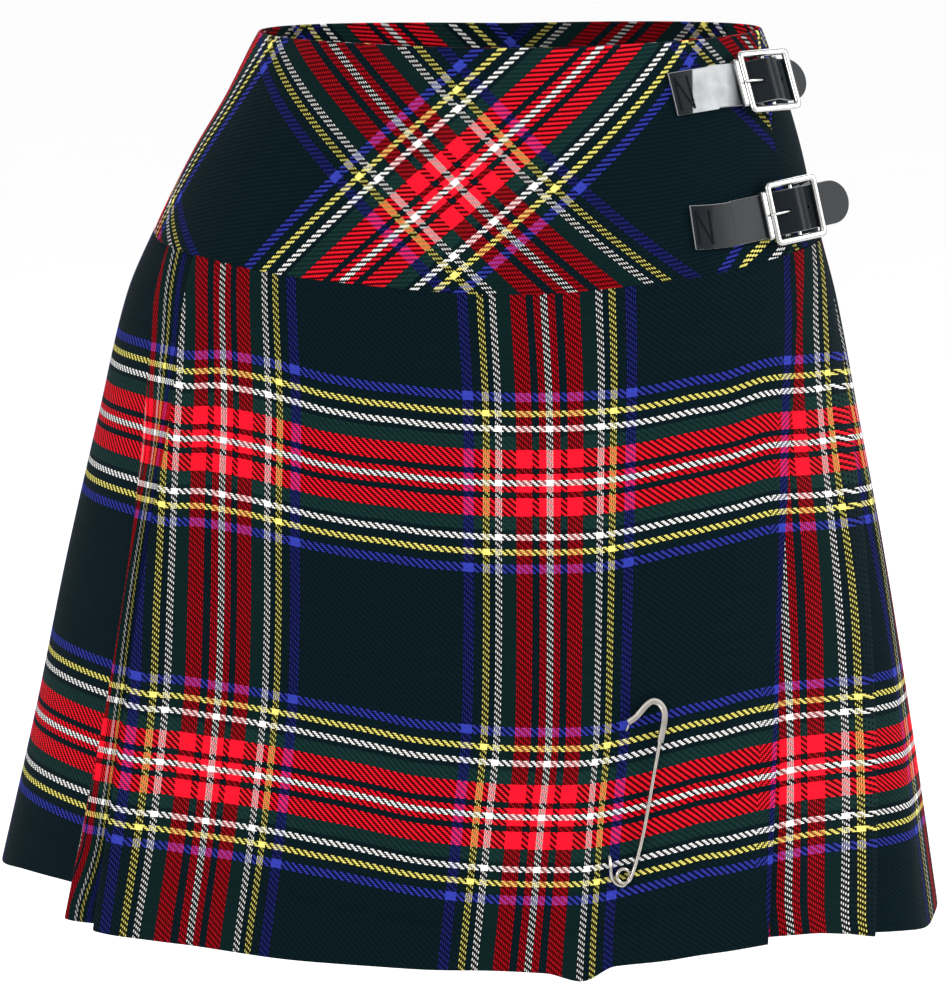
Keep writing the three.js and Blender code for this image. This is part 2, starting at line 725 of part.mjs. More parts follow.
// A plate of the outline's shape, half its depth on each side of level 0
function extruded(outline, depth, curveSegments) {
  const plate = new THREE.ExtrudeGeometry(outline, { depth, bevelEnabled: false, curveSegments });
  return plate.translate(0, 0, -depth / 2);
}

const BAR_DROP = CENTRE_BAR_LEVEL - FRAME_LEVEL;
const FRAME_OPENING = FRAME_SIZE / 2 - FRAME_BAR;

function buckleFrame() {
  const outline = roundedRectangle(FRAME_SIZE / 2, FRAME_SIZE / 2, FRAME_CORNER);
  outline.holes.push(roundedRectangle(FRAME_OPENING, FRAME_OPENING, OPENING_CORNER, THREE.Path));
  const plate = extruded(outline, FRAME_DEPTH, 4);
  const barLength = 2 * FRAME_OPENING + FRAME_BAR;
  const bar = new THREE.CylinderGeometry(CENTRE_BAR_RADIUS, CENTRE_BAR_RADIUS, barLength, 12);
  bar.translate(0, 0, BAR_DROP);
  return join(plate, [bar]);
}

// A loop round the strap, just before the frame, with a crowned face
function keeper() {
  const low = -FRAME_LEVEL + STRAP_SEAT - RUNNING_GAP - KEEPER_WALL;
  const high = -FRAME_LEVEL + STRAP_SEAT + STRAP_THICKNESS + RUNNING_GAP + KEEPER_CROWN;
  const middle = (low + high) / 2;
  const outline = roundedRectangle(KEEPER_HEIGHT / 2, (high - low) / 2, KEEPER_CORNER);
  const hollow = new THREE.Path();
  const side = STRAP_WIDTH / 2 + RUNNING_GAP;
  const floor = low + KEEPER_WALL - middle;
  const roof = floor + STRAP_THICKNESS + 2 * RUNNING_GAP;
  hollow.moveTo(-side, floor);
  hollow.lineTo(side, floor);
  hollow.lineTo(side, roof);
  hollow.lineTo(-side, roof);
  hollow.closePath();
  outline.holes.push(hollow);
  const loop = extruded(outline, KEEPER_WIDTH, 4);
  const upright = new THREE.Matrix4().makeBasis(
    new THREE.Vector3(0, 1, 0),
    new THREE.Vector3(0, 0, 1),
    new THREE.Vector3(1, 0, 0),
  );
  upright.setPosition(KEEPER_AT, 0, middle);
  return loop.applyMatrix4(upright);
}

// The prong's rod, from the centre bar to the left bar of the frame. Grown a little, it is also the tool
// that cuts its hole.
function prongRod(radius) {
  return rod(PRONG.map(({ along, rise }) => new THREE.Vector3(along, 0, rise)), radius, PRONG_STEPS);
}

function prong() {
  const eye = new THREE.Shape();
  eye.absarc(0, 0, CENTRE_BAR_RADIUS + EYE_WALL, 0, Math.PI * 2);
  const bore = new THREE.Path();
  bore.absarc(0, 0, CENTRE_BAR_RADIUS + RUNNING_GAP, 0, Math.PI * 2);
  eye.holes.push(bore);
  const ring = extruded(eye, EYE_WIDTH, 7);
  ring.rotateX(Math.PI / 2);
  ring.translate(0, 0, BAR_DROP);
  return join(ring, [prongRod(PRONG_RADIUS)]);
}

function strapHoles(run) {
  const spare = new THREE.CylinderGeometry(HOLE_RADIUS, HOLE_RADIUS, HOLE_TOOL, 10);
  spare.rotateX(Math.PI / 2);
  spare.translate(SPARE_HOLE_AT, 0, 0);
  const tools = [prongRod(PRONG_RADIUS + PRONG_CLEARANCE), spare];
  return tools.map((tool) => tool.applyMatrix4(buckleMatrix(run)));
}

// The tab that holds the buckle: from the yoke, round the centre bar and back on itself
function tabGeometry(run) {
  const turnRadius = CENTRE_BAR_RADIUS + RUNNING_GAP + TAB_CLOTH / 2;
  const seat = STRAP_SEAT + TAB_CLOTH / 2;
  const rows = TAB_SIDES.map((side) => {
    const v = (side * TAB_WIDTH) / 2;
    const centre = run.place(run.toBuckle, v, CENTRE_BAR_LEVEL);
    const onYoke = TAB_ANGLES.map((angle) => skin(angle, centre.z, seat));
    const lift = onYoke[onYoke.length - 1];
    const along = centre.clone().sub(lift).setZ(0).normalize();
    const across = new THREE.Vector3(-along.y, along.x, 0);
    const loop = range(LOOP_STEPS + 1).map((i) => {
      const turn = (i / LOOP_STEPS) * Math.PI;
      const arc = centre.clone().addScaledVector(across, turnRadius * Math.cos(turn));
      return arc.addScaledVector(along, turnRadius * Math.sin(turn));
    });
    const over = lift.clone().addScaledVector(across, -(TAB_CLOTH + STRAP_SEAT));
    const back = TAB_RETURN.map((t) => loop[LOOP_STEPS].clone().lerp(over, t));
    return [...onYoke, ...loop, ...back];
  });
  const slotRadius = turnRadius + TAB_CLOTH;
  const slot = new THREE.CylinderGeometry(slotRadius, slotRadius, TAB_SLOT, 16);
  slot.translate(0, 0, BAR_DROP);
  return cut(wall(rows, TAB_CLOTH), [slot.applyMatrix4(buckleMatrix(run))]);
}

function makeStraps() {
  STRAPS.forEach((strap) => {
    const run = strapRun(strap);
    addMesh(`strap_${strap.name}`, cut(strapGeometry(strap, run), strapHoles(run)), LEATHER);
    addOnBuckle(`buckle_frame_${strap.name}`, buckleFrame(), GREY_STEEL, run);
    addOnBuckle(`buckle_keeper_${strap.name}`, keeper(), GREY_STEEL, run);
    addOnBuckle(`buckle_prong_${strap.name}`, prong(), GREY_STEEL, run);
    addMesh(`buckle_tab_${strap.name}`, tabGeometry(run), LEATHER);
  });
}

// Kilt pin
function pinFrame() {
  const coil = skin(PIN_COIL.angle, PIN_COIL.z, 0);
  const clasp = skin(PIN_CLASP.angle, PIN_CLASP.z, 0);
  const along = clasp.clone().sub(coil).normalize();
  const level = surface(mix(PIN_COIL.angle, PIN_CLASP.angle, 0.5), mix(PIN_COIL.z, PIN_CLASP.z, 0.5)).out;
  const left = level.clone().cross(along).normalize();
  const out = along.clone().cross(left).normalize();
  return (p, q, r) => coil.clone().addScaledVector(along, p).addScaledVector(left, q).addScaledVector(out, r);
}

function pinWire(place) {
  const front = FRONT_ARM.map(({ p, q }) => place(p, q, PIN_STAND));
  const coil = range(COIL_STEPS + 1).map((i) => {
    const turn = (i / COIL_STEPS) * Math.PI * 2;
    const depth = PIN_STAND - (COIL_DROP * i) / COIL_STEPS;
    return place(-COIL_RADIUS * Math.sin(turn), -COIL_RADIUS * Math.cos(turn), depth);
  });
  const sweep = COIL_SWEEP.map(({ p, q }) => place(p, q, PIN_STAND - COIL_DROP));
  const back = BACK_ARM.map(({ p, q, r }) => place(p, q, r));
  return rod([...front, ...coil, ...sweep, ...back], PIN_WIRE, PIN_STEPS, 7);
}

function pinClasp(place) {
  const middle = CLASP.map(({ p, q }) => new THREE.Vector3(p, q, 0));
  const path = new THREE.CatmullRomCurve3(middle, false, 'centripetal');
  const shares = range(CLASP_STEPS + 1).map((i) => i / CLASP_STEPS);
  const spots = shares.map((share) => ({ at: path.getPoint(share), run: path.getTangent(share) }));
  const grid = (level, crown) => [-1, 0, 1].map((side) => spots.map(({ at, run }) => {
    const reach = (side * CLASP_WIDTH) / 2;
    return place(at.x - run.y * reach, at.y + run.x * reach, level + crown * (1 - Math.abs(side)));
  }));
  return slab(grid(PIN_STAND + CLASP_DEPTH / 2, CLASP_CROWN), grid(PIN_STAND - CLASP_DEPTH / 2, 0));
}

// Tools that clear the cloth where the pin's back arm goes through it
function pinHoles() {
  const place = pinFrame();
  return PIN_HOLES.map(({ p, q, tilt }) => {
    const line = [place(p - tilt, q, HOLE_FROM), place(p + tilt, q, HOLE_TO)];
    return rod(line, PIN_HOLE, 1, 10);
  });
}

function makePin() {
  const place = pinFrame();
  addMesh('kilt_pin', join(pinWire(place), [pinClasp(place)]), GREY_STEEL);
}

makeCloth();
makeYokes();
makeStraps();
makePin();

export default garment;
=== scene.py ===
"""A wrap mini kilt: bias-cut yoke, flat apron, side and back pleats, two strapped buckles and a kilt pin.

Lengths are in millimetres until a mesh is made. Angles are in degrees round the vertical axis: 0 at centre
front, + to the viewer's right. The cloth is a tartan in a 2/2 twill, woven by its material from thread
counts.
"""

import math

import bmesh
import bpy
import numpy as np
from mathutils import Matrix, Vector


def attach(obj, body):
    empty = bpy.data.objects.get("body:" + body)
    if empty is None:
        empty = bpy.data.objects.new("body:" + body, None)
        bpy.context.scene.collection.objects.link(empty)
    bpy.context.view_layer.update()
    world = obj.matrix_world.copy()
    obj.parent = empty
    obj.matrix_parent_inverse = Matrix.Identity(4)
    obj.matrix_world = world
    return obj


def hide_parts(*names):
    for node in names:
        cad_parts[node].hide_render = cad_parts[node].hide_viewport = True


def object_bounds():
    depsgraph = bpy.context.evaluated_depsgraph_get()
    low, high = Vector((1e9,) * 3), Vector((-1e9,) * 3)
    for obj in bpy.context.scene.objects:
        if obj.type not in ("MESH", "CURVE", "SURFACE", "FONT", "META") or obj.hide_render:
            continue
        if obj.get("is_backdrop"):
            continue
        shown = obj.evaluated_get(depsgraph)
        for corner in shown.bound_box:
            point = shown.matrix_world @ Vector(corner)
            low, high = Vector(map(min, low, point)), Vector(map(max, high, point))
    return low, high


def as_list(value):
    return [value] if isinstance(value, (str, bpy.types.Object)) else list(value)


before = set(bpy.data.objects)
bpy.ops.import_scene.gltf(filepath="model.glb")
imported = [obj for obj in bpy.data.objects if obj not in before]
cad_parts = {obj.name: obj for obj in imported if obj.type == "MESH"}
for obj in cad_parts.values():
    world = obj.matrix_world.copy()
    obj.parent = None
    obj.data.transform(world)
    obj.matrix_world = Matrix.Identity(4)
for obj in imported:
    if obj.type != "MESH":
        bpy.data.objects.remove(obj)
cad_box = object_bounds()

MM = 0.001
TURN = 360.0

# Cloth walls and the layers of a pleat
CLOTH = 1.1
CLOTH_WALL = 0.9
YOKE_CLOTH = 1.3
YOKE_WALL = 1.1
SEAM_GAP = 0.3
HIDDEN_GAP = 0.6
PLEAT_PITCH_TOP = 1.6
PLEAT_PITCH_HEM = 5.2
PITCH_GROWTH = 1.2
UNDER_GAP_TOP = 0.45
UNDER_GAP_HEM = 4.0
HAIRPIN_STEPS = 8
LAYER_STEPS = 9
FACE_STEPS = {"apron": 190, "strip": 9, "side": 36, "back": 18, "flat": 22, "lap": 30, "under": 90}
PANEL_ROWS = 84
YOKE_ROWS = 44
YOKE_STEPS = {"front": 170, "back": 150, "under": 120}

# Half widths of the outer surface at each level, and how square the section is (2 is an ellipse)
RINGS = {
    "z": [12, 0, -30, -60, -100, -135, -200, -280, -360, -475],
    "left": [129.6, 136, 151.5, 169.5, 190, 205.5, 222, 241.5, 259, 287],
    "right": [132.3, 136.5, 147.5, 156.5, 165.5, 175, 188.5, 205, 219.5, 239],
    "front": [100.5, 104, 113, 121, 130, 138, 149, 163, 177, 195],
    "back": [100.5, 104, 114, 124, 135, 144, 156, 170, 184, 204],
    "power": [2.3, 2.3, 2.4, 2.45, 2.45, 2.4, 2.3, 2.2, 2.1, 2.0],
}

# Heights of the top edge, the yoke seam and the hems round the body
TOP_EDGE = {"angle": [-180, -90, 0, 90, 180], "z": [2, 3.5, 0, 5, 2]}
YOKE_SEAM = {
    "angle": [-180, -165, -90, -64, -41, 0, 33, 61, 90, 165, 180],
    "z": [-118, -118, -101, -106, -114, -120.5, -115, -106.5, -104, -118, -118],
}
APRON_HEM = {
    "angle": [-75, -60, -45, -24, -6, 5, 10.2, 15.5, 24, 40, 55, 70],
    "z": [-449, -456.5, -453, -454, -454.5, -456, -460, -453.5, -453, -451.5, -457, -467],
}
PLEAT_HEM = {
    "angle": [-322, -313, -306, -299, -292, -281, -262, -180, -110, -88, -76, -66],
    "z": [-449, -451.5, -456.5, -464, -468.5, -476, -474, -457, -452, -450, -441.5, -439.5],
}

# Creases by angle at four shares of the way from the seam to the hem
CREASE_SHARES = [0, 0.2, 0.5, 1]
FREE_EDGE = [62, 55.2, 47.3, 39.5]
LEFT_CREASES = [
    {"at": [-62.8, -60.7, -61, -61], "underlap": [7, 7, 7, 7]},
    {"at": [-71, -66.4, -64, -65.8], "underlap": [3.2, 3, 2.2, 2.6]},
]
BACK_CREASES = 12
FIRST_BACK_CREASE = -96
LAST_BACK_CREASE = -262
BACK_UNDERLAP_SHARE = 0.62
RIGHT_CREASE = [-280, -285, -290.5, -300.1]
RIGHT_UNDERLAP = 9
FACE_RISE = 1.6
SWELL = 1.1
SWELL_EDGE = 0.3
UNDER_APRON_END = -36
UNDER_APRON_RAISED = 5
LAP_MARGIN = 1
CREASE_FADE = 40
MEAN_SEAM_LEVEL = -110
MEAN_HEM_LEVEL = -455

LEFT_SIDE_SEAM = -92
RIGHT_SIDE_SEAM = 92
UNDER_YOKE_END = -52
YOKE_FREE_EDGE = {"share": [0, 0.44, 1], "angle": [72.5, 63.8, 61.8]}
UNDER_YOKE_DEPTH = YOKE_CLOTH + HIDDEN_GAP

# Soft creases: each runs from one angle and height to another, and stands out or sinks by its depth
SOFT_FOLDS = [
    {"from": (13, -370), "to": (12.3, -470), "width": 3.2, "depth": 2.4},
    {"from": (-9, -300), "to": (-12, -470), "width": 6.0, "depth": 1.6},
    {"from": (27, -380), "to": (29, -470), "width": 4.0, "depth": -1.8},
    {"from": (-31, -330), "to": (-34, -470), "width": 6.5, "depth": 1.5},
    {"from": (-52, -250), "to": (-54.5, -470), "width": 4.0, "depth": -1.5},
    {"from": (48, -220), "to": (45, -470), "width": 4.0, "depth": 1.3},
    {"from": (78, -200), "to": (80, -480), "width": 6.0, "depth": -2.0},
    {"from": (-80, -180), "to": (-78, -470), "width": 7.0, "depth": 2.0},
    {"from": (2, -125), "to": (-4, -215), "width": 9.0, "depth": -0.8},
    {"from": (-104, -260), "to": (-103, -470), "width": 4.5, "depth": 1.8},
    {"from": (-150, -240), "to": (-148, -470), "width": 4.5, "depth": -1.9},
    {"from": (-194, -290), "to": (-193, -480), "width": 4.0, "depth": 1.6},
    {"from": (-239, -230), "to": (-240, -480), "width": 5.0, "depth": 2.1},
]

# The weave: thread widths, and half a sett as threads counted out from the middle of a white line
WARP_THREAD = 0.893
WEFT_THREAD = 0.7595
WARP_SETT = [
    ("white", 2), ("red", 4), ("black", 4), ("red", 9), ("green", 8), ("white", 4),
    ("black", 3), ("yellow", 4), ("black", 5), ("blue", 6), ("black", 47),
]
WEFT_SETT = [
    ("white", 2), ("red", 4), ("black", 4), ("red", 12), ("green", 9), ("black", 3), ("white", 4),
    ("black", 6), ("yellow", 4), ("black", 6), ("blue", 6), ("black", 51),
]
YARN = {
    "white": (0.88, 0.88, 0.86),
    "red": (0.89, 0.006, 0.020),
    "black": (0.0010, 0.0052, 0.0072),
    "green": (0.0038, 0.017, 0.0145),
    "yellow": (0.80, 0.72, 0.17),
    "blue": (0.025, 0.036, 0.30),
}
WARP_COVER = 0.5
# Painted shade: where the warp lies on top its yarns are darkened to this share, as they dip lower than the
# weft
WARP_SHADE_TONE = 0.78
YARN_TINT = 0.26
YARN_GLOW = 0.085
# Painted shade on red and blue warp yarns, which sink between the weft
WARP_SINK_SHADE = 0.32

# Where the checks lie: each face's lines from right to left, by their place in the sett, and the angle of
# each line by height
APRON_LINES = [
    {"u": 130.4, "z": [-110, -129, -149, -179, -222, -305, -334, -379, -435],
     "angle": [61, 58.5, 56.7, 54.1, 51.1, 46.2, 44.9, 42.7, 40.4]},
    {"u": 0, "z": [-120, -178, -241, -336, -380, -414, -456],
     "angle": [6.6, 7.35, 7.0, 6.15, 4.65, 3.6, 2.3]},
    {"u": -171.5, "z": [-108, -147, -185, -223, -260, -287, -334, -392, -447],
     "angle": [-57.2, -53.7, -51.4, -50, -48.5, -47.5, -46.4, -46.2, -46.6]},
    {"u": -197.4, "z": [-110, -152, -219, -280, -337, -397, -453],
     "angle": [-67, -61, -58.2, -55.8, -54.3, -54, -54.5]},
    {"u": -212.6, "z": [-110, -219, -293, -340, -401, -457],
     "angle": [-73, -63.5, -60.8, -59.3, -59, -59]},
]
STRIP_LINES = [
    {"u": 46 * WARP_THREAD, "z": [-106, -155, -223, -344, -411, -448],
     "angle": [-65.8, -62.9, -62.4, -62, -62.1, -63]},
    {"u": 15 * WARP_THREAD, "z": [-106, -155, -223, -344, -411, -448],
     "angle": [-71, -66.4, -63.9, -64, -64, -65.4]},
]
LAP_LINES = [
    {"u": 43 * WARP_THREAD, "z": [-112, -180, -280, -349, -455], "angle": [81.5, 76.2, 70.7, 67, 61]},
    {"u": 38 * WARP_THREAD, "z": [-112, -154, -199, -281, -349, -441],
     "angle": [78.7, 70.1, 66.2, 65, 62, 57.9]},
    {"u": 32.15, "z": [-112, -154, -199, -281, -349, -441], "angle": [77.5, 69, 65.3, 64, 61, 57]},
    {"u": 25.9, "z": [-112, -152, -198, -278, -347, -439], "angle": [72.8, 65.2, 62.5, 60.2, 58, 53.8]},
    {"u": 12.95, "z": [-110, -150, -190, -276, -343, -435], "angle": [65.6, 59.2, 56.8, 55, 52.2, 48.8]},
    {"u": 0, "z": [-110, -148, -194, -273, -340, -432], "angle": [58, 54, 52, 49, 47.5, 44.2]},
]
SIDE_LINE = {"u": 46 * WARP_THREAD, "angle": -84}
RIGHT_FLAT_LINE = {"u": -46 * WARP_THREAD, "angle": -284}
BACK_FIRST_U = -22.0
BACK_FACE_WIDTH = 53.0
CROSS_BAND = {
    "angle": [-180, -110, -82, -59, -43, -24, 0, 17, 33, 48.8, 62, 82, 100, 180],
    "z": [-208, -199, -196.5, -198, -201, -208, -213.3, -212.6, -206, -199.3, -202.4, -210.4, -217, -208],
}

# How far the cross lines stand above that, in millimetres, at three levels down the cloth
CROSS_EASE = {
    "angle": [-78, -67, -59, -52, -46, -40, -34, -28, -22, -16, -10,
              0, 10, 20, 29, 35, 42, 49, 57, 68, 90, 110],
    "upper": [0, 0.5, -0.5, 2.5, 2, 0, -1.5, -1.5, -1, -1, -0.5,
              0, 0, 0.5, 0, -0.5, -2, -1, -1, 0, 0, 0],
    "lower": [0, -0.5, -0.5, 2.5, 4, 5.5, 6.5, 6, 4.5, 2.5, 2,
              0, -1, -1.5, -1.5, -3.5, -2.5, -0.5, -1, -4, -4, 0],
    "hem": [0, -0.5, -0.5, 2.5, 4.5, 6, 7, 7, 6, 4.5, 3.5,
            1.5, 0.5, 0, -1, -3.5, -2, 0, -1, -4, -4, 0],
}
EASE_LEVELS = [-205, -370, -415]
SIGHT_SLOPE = 0.17
EDGE_STRIP = 10.5
EDGE_STRIP_RATE = 10

# Grain of the bias-cut yoke: the flat cloth's place for a place p spans along the yoke and q rises up it,
# as factors of those letters' products
YOKE_ALONG = {"p": 95.5, "pq": 3.2, "ppq": 3.3, "pp": -1.9, "ppp": 1.6}
YOKE_UP = {"q": 52.3, "p": 2.2, "pp": 0.9, "ppq": 0.9, "ppp": -2.7}
YOKE_CROSSING = {"angle": -13.2, "z": -65.5}
UNDER_YOKE_DARK = (77, 2, 120.5)
EDGE_EASE = 41
EDGE_EASE_FROM = 1.56
YOKE_SPAN = 100.0
YOKE_RISE = 50.0
PLAIN_YOKE_RISE = 1.04
ARC_SAMPLES = 41

# How the yoke's edges roll in: how far, and how fast that fades in shares of its height
TOP_ROLL = 0.5
TOP_ROLL_RATE = 30
SEAM_ROLL = 0.35
SEAM_ROLL_RATE = 40


def curve(xs, ys, x):
    """A smooth curve through a table's points that never swings past them."""
    xs = np.asarray(xs, float)
    ys = np.asarray(ys, float)
    if xs[0] > xs[-1]:
        xs = xs[::-1]
        ys = ys[::-1]
    steps = np.diff(xs)
    slopes = np.diff(ys) / steps
    product = slopes[:-1] * slopes[1:]
    total = np.where(product > 0, slopes[:-1] + slopes[1:], 1.0)
    tangents = np.concatenate([slopes[:1], np.where(product > 0, 2 * product / total, 0.0), slopes[-1:]])
    x = np.clip(x, xs[0], xs[-1])
    i = np.clip(np.searchsorted(xs, x) - 1, 0, len(steps) - 1)
    t = (x - xs[i]) / steps[i]
    level = (1 + 2 * t) * (1 - t) ** 2 * ys[i] + t * t * (3 - 2 * t) * ys[i + 1]
    return level + steps[i] * (t * (1 - t) ** 2 * tangents[i] + t * t * (t - 1) * tangents[i + 1])


def smooth(t):
    x = np.clip(t, 0.0, 1.0)
    return x * x * (3 - 2 * x)


def mix(a, b, t):
    return a + (b - a) * t


def wrapped(angle):
    """The same angle, between -180 and 180."""
    return np.mod(np.asarray(angle, float) + TURN / 2, TURN) - TURN / 2


def surface(angle, z):
    """The point of the outer surface at an angle and height, and its level direction outwards."""
    angle, z = np.broadcast_arrays(np.asarray(angle, float), np.asarray(z, float))
    column = {key: curve(RINGS["z"], RINGS[key], z) for key in ("left", "right", "front", "back", "power")}
    s = np.sin(np.radians(angle))
    c = np.cos(np.radians(angle))
    a = np.where(s > 0, column["right"], column["left"])
    b = np.where(c > 0, column["front"], column["back"])
    power = column["power"]
    radius = (np.abs(s / a) ** power + np.abs(c / b) ** power) ** (-1 / power)
    x = radius * s
    y = -radius * c
    nx = np.sign(x) * np.abs(x) ** (power - 1) / a ** power
    ny = np.sign(y) * np.abs(y) ** (power - 1) / b ** power
    size = np.hypot(nx, ny)
    return np.stack([x, y, z], -1), np.stack([nx / size, ny / size, 0 * z], -1)


def skin(angle, z, offset):
    point, out = surface(angle, z)
    return point + out * np.asarray(offset, float)[..., None]


def relief(angle, z):
    """How far the soft creases lift the cloth at an angle and height."""
    lift = np.zeros(np.broadcast(angle, z).shape)
    for fold in SOFT_FOLDS:
        (angle_top, z_top), (angle_low, z_low) = fold["from"], fold["to"]
        share = (z_top - z) / (z_top - z_low)
        middle = mix(angle_top, angle_low, np.clip(share, 0, 1))
        off = wrapped(angle - middle) / fold["width"]
        lift = lift + fold["depth"] * smooth(share) * np.exp(-off * off)
    return lift


def arc_per_degree(angle, z):
    return float(np.linalg.norm(surface(angle + 0.5, z)[0] - surface(angle - 0.5, z)[0]))


def steps_to(a, b, count):
    """Steps from a to b, leaving the first out."""
    return [mix(a, b, (i + 1) / count) for i in range(count)]


def at_share(values, share):
    return float(curve(CREASE_SHARES, values, share))


def seam_height(angle):
    return curve(YOKE_SEAM["angle"], YOKE_SEAM["z"], wrapped(angle))


def top_height(angle):
    return curve(TOP_EDGE["angle"], TOP_EDGE["z"], wrapped(angle))


# The pleated cloth is one path, from the over-apron's free edge round by the left to the under-apron's end
def pleat_pitch(share):
    return mix(PLEAT_PITCH_TOP, PLEAT_PITCH_HEM, share ** PITCH_GROWTH)


def face_steps(k):
    """How many steps the face in front of a crease takes."""
    faces = ["apron", "strip", "side"]
    return FACE_STEPS[faces[k] if k < len(faces) else "back"]


def back_crease(k):
    return mix(FIRST_BACK_CREASE, LAST_BACK_CREASE, k / (BACK_CREASES - 1))


def crease_table(share):
    """The knife pleats' creases in order: where each is and how far it laps under."""
    left = [(at_share(row["at"], share), at_share(row["underlap"], share)) for row in LEFT_CREASES]
    width = abs(back_crease(1) - back_crease(0))
    back = [(back_crease(k), width * BACK_UNDERLAP_SHARE) for k in range(BACK_CREASES)]
    return left + back


def hairpin(angle, start, end, bulge, reach):
    """Half circle between two layers, as angles and offsets."""
    turns = [(i + 1) / HAIRPIN_STEPS * math.pi for i in range(HAIRPIN_STEPS - 1)]
    middle = (start + end) / 2
    return [(angle + bulge * reach * math.sin(t), middle + (start - end) / 2 * math.cos(t)) for t in turns]


def skirt_path(share):
    """The stations at one share of the way down, the last station of each layer, and each face's stations."""
    pitch = pleat_pitch(share)
    level = mix(MEAN_SEAM_LEVEL, MEAN_HEM_LEVEL, share)
    stations = []
    ends = []
    faces = []

    def put(angle, offset, hem):
        stations.append((angle, offset, hem))

    def reach_of(angle):
        return pitch / 2 / arc_per_degree(angle, level)

    start = at_share(FREE_EDGE, share)
    face_start = start
    face_low = 0.0
    put(start, 0.0, "apron")
    for k, (at, underlap) in enumerate(crease_table(share)):
        hem = "apron" if k < 2 else "pleat"
        next_hem = "apron" if k < 1 else "pleat"
        reach = reach_of(at)
        edge = at + reach
        tuck = at + underlap - reach
        rate = 1 if k == 1 else FACE_RISE

        def face_offset(angle, start=face_start, low=face_low, at=at, rate=rate):
            return mix(low, 0.0, float(smooth(rate * (angle - start) / (at - start))))

        first = len(stations) - 1
        for angle in steps_to(face_start, edge, face_steps(k)):
            put(angle, face_offset(angle), hem)
        faces.append((first, len(stations) - 1))
        for angle, offset in hairpin(edge, 0.0, -pitch, -1, reach):
            put(angle, offset, hem)
        put(edge, -pitch, hem)
        for angle in steps_to(edge, tuck, LAYER_STEPS):
            put(angle, face_offset(angle) - pitch, hem)
        depth = face_offset(tuck)
        ends.append(len(stations) - 1)
        for i, (angle, offset) in enumerate(hairpin(tuck, depth - pitch, depth - 2 * pitch, 1, reach)):
            put(angle, offset, hem if i * 2 < HAIRPIN_STEPS - 2 else next_hem)
        put(tuck, depth - 2 * pitch, next_hem)
        for angle in steps_to(tuck, at, LAYER_STEPS):
            put(angle, face_offset(max(angle, at)) - 2 * pitch, next_hem)
        face_start = at
        face_low = -2 * pitch

    # The flat bottom of the inverted pleat on the right, and the fold of the under-apron over it
    fold = at_share(RIGHT_CREASE, share)
    reach = reach_of(fold)
    lap_end = start - TURN + LAP_MARGIN
    under = CLOTH + mix(UNDER_GAP_TOP, UNDER_GAP_HEM, share)

    def rise(angle):
        return mix(0.0, -under, float(smooth((angle - fold) / (lap_end - fold))))

    def swollen(angle):
        t = (angle - face_start) / (fold - face_start)
        return 2 * pitch * (SWELL * float(smooth(t / SWELL_EDGE) * smooth((1 - t) / SWELL_EDGE)) - 1)

    first = len(stations) - 1
    for angle in steps_to(face_start, fold, FACE_STEPS["flat"]):
        put(angle, swollen(angle), "pleat")
    faces.append((first, len(stations) - 1))
    tuck = fold - RIGHT_UNDERLAP + reach
    for angle in steps_to(fold, tuck, LAYER_STEPS):
        put(angle, rise(angle) - 2 * pitch, "pleat")
    depth = rise(tuck)
    ends.append(len(stations) - 1)
    for angle, offset in hairpin(tuck, depth - 2 * pitch, depth - pitch, -1, reach):
        put(angle, offset, "pleat")
    put(tuck, depth - pitch, "pleat")
    for angle in steps_to(tuck, fold - reach, LAYER_STEPS):
        put(angle, rise(angle) - pitch, "pleat")
    for angle, offset in hairpin(fold - reach, -pitch, 0.0, 1, reach):
        put(angle, offset, "pleat")
    first = len(stations)
    put(fold - reach, 0.0, "pleat")
    for angle in steps_to(fold - reach, lap_end, FACE_STEPS["lap"]):
        put(angle, rise(angle), "pleat")
    for angle in steps_to(lap_end, UNDER_APRON_END - TURN, FACE_STEPS["under"]):
        put(angle, -under, "under")
    faces.append((first, len(stations) - 1))
    ends.append(len(stations) - 1)
    return stations, ends, faces


def hem_heights(angles, hems):
    apron = curve(APRON_HEM["angle"], APRON_HEM["z"], angles)
    pleat = curve(PLEAT_HEM["angle"], PLEAT_HEM["z"], angles)
    under = curve(APRON_HEM["angle"], APRON_HEM["z"], angles + TURN) + UNDER_APRON_RAISED
    return np.where(hems == "apron", apron, np.where(hems == "pleat", pleat, under))


def lengths_along(points):
    """Running length along each row of a grid of points."""
    steps = np.linalg.norm(np.diff(points, axis=1), axis=2)
    return np.concatenate([np.zeros((len(points), 1)), np.cumsum(steps, axis=1)], axis=1)


def lengths_down(points):
    return lengths_along(points.swapaxes(0, 1)).T


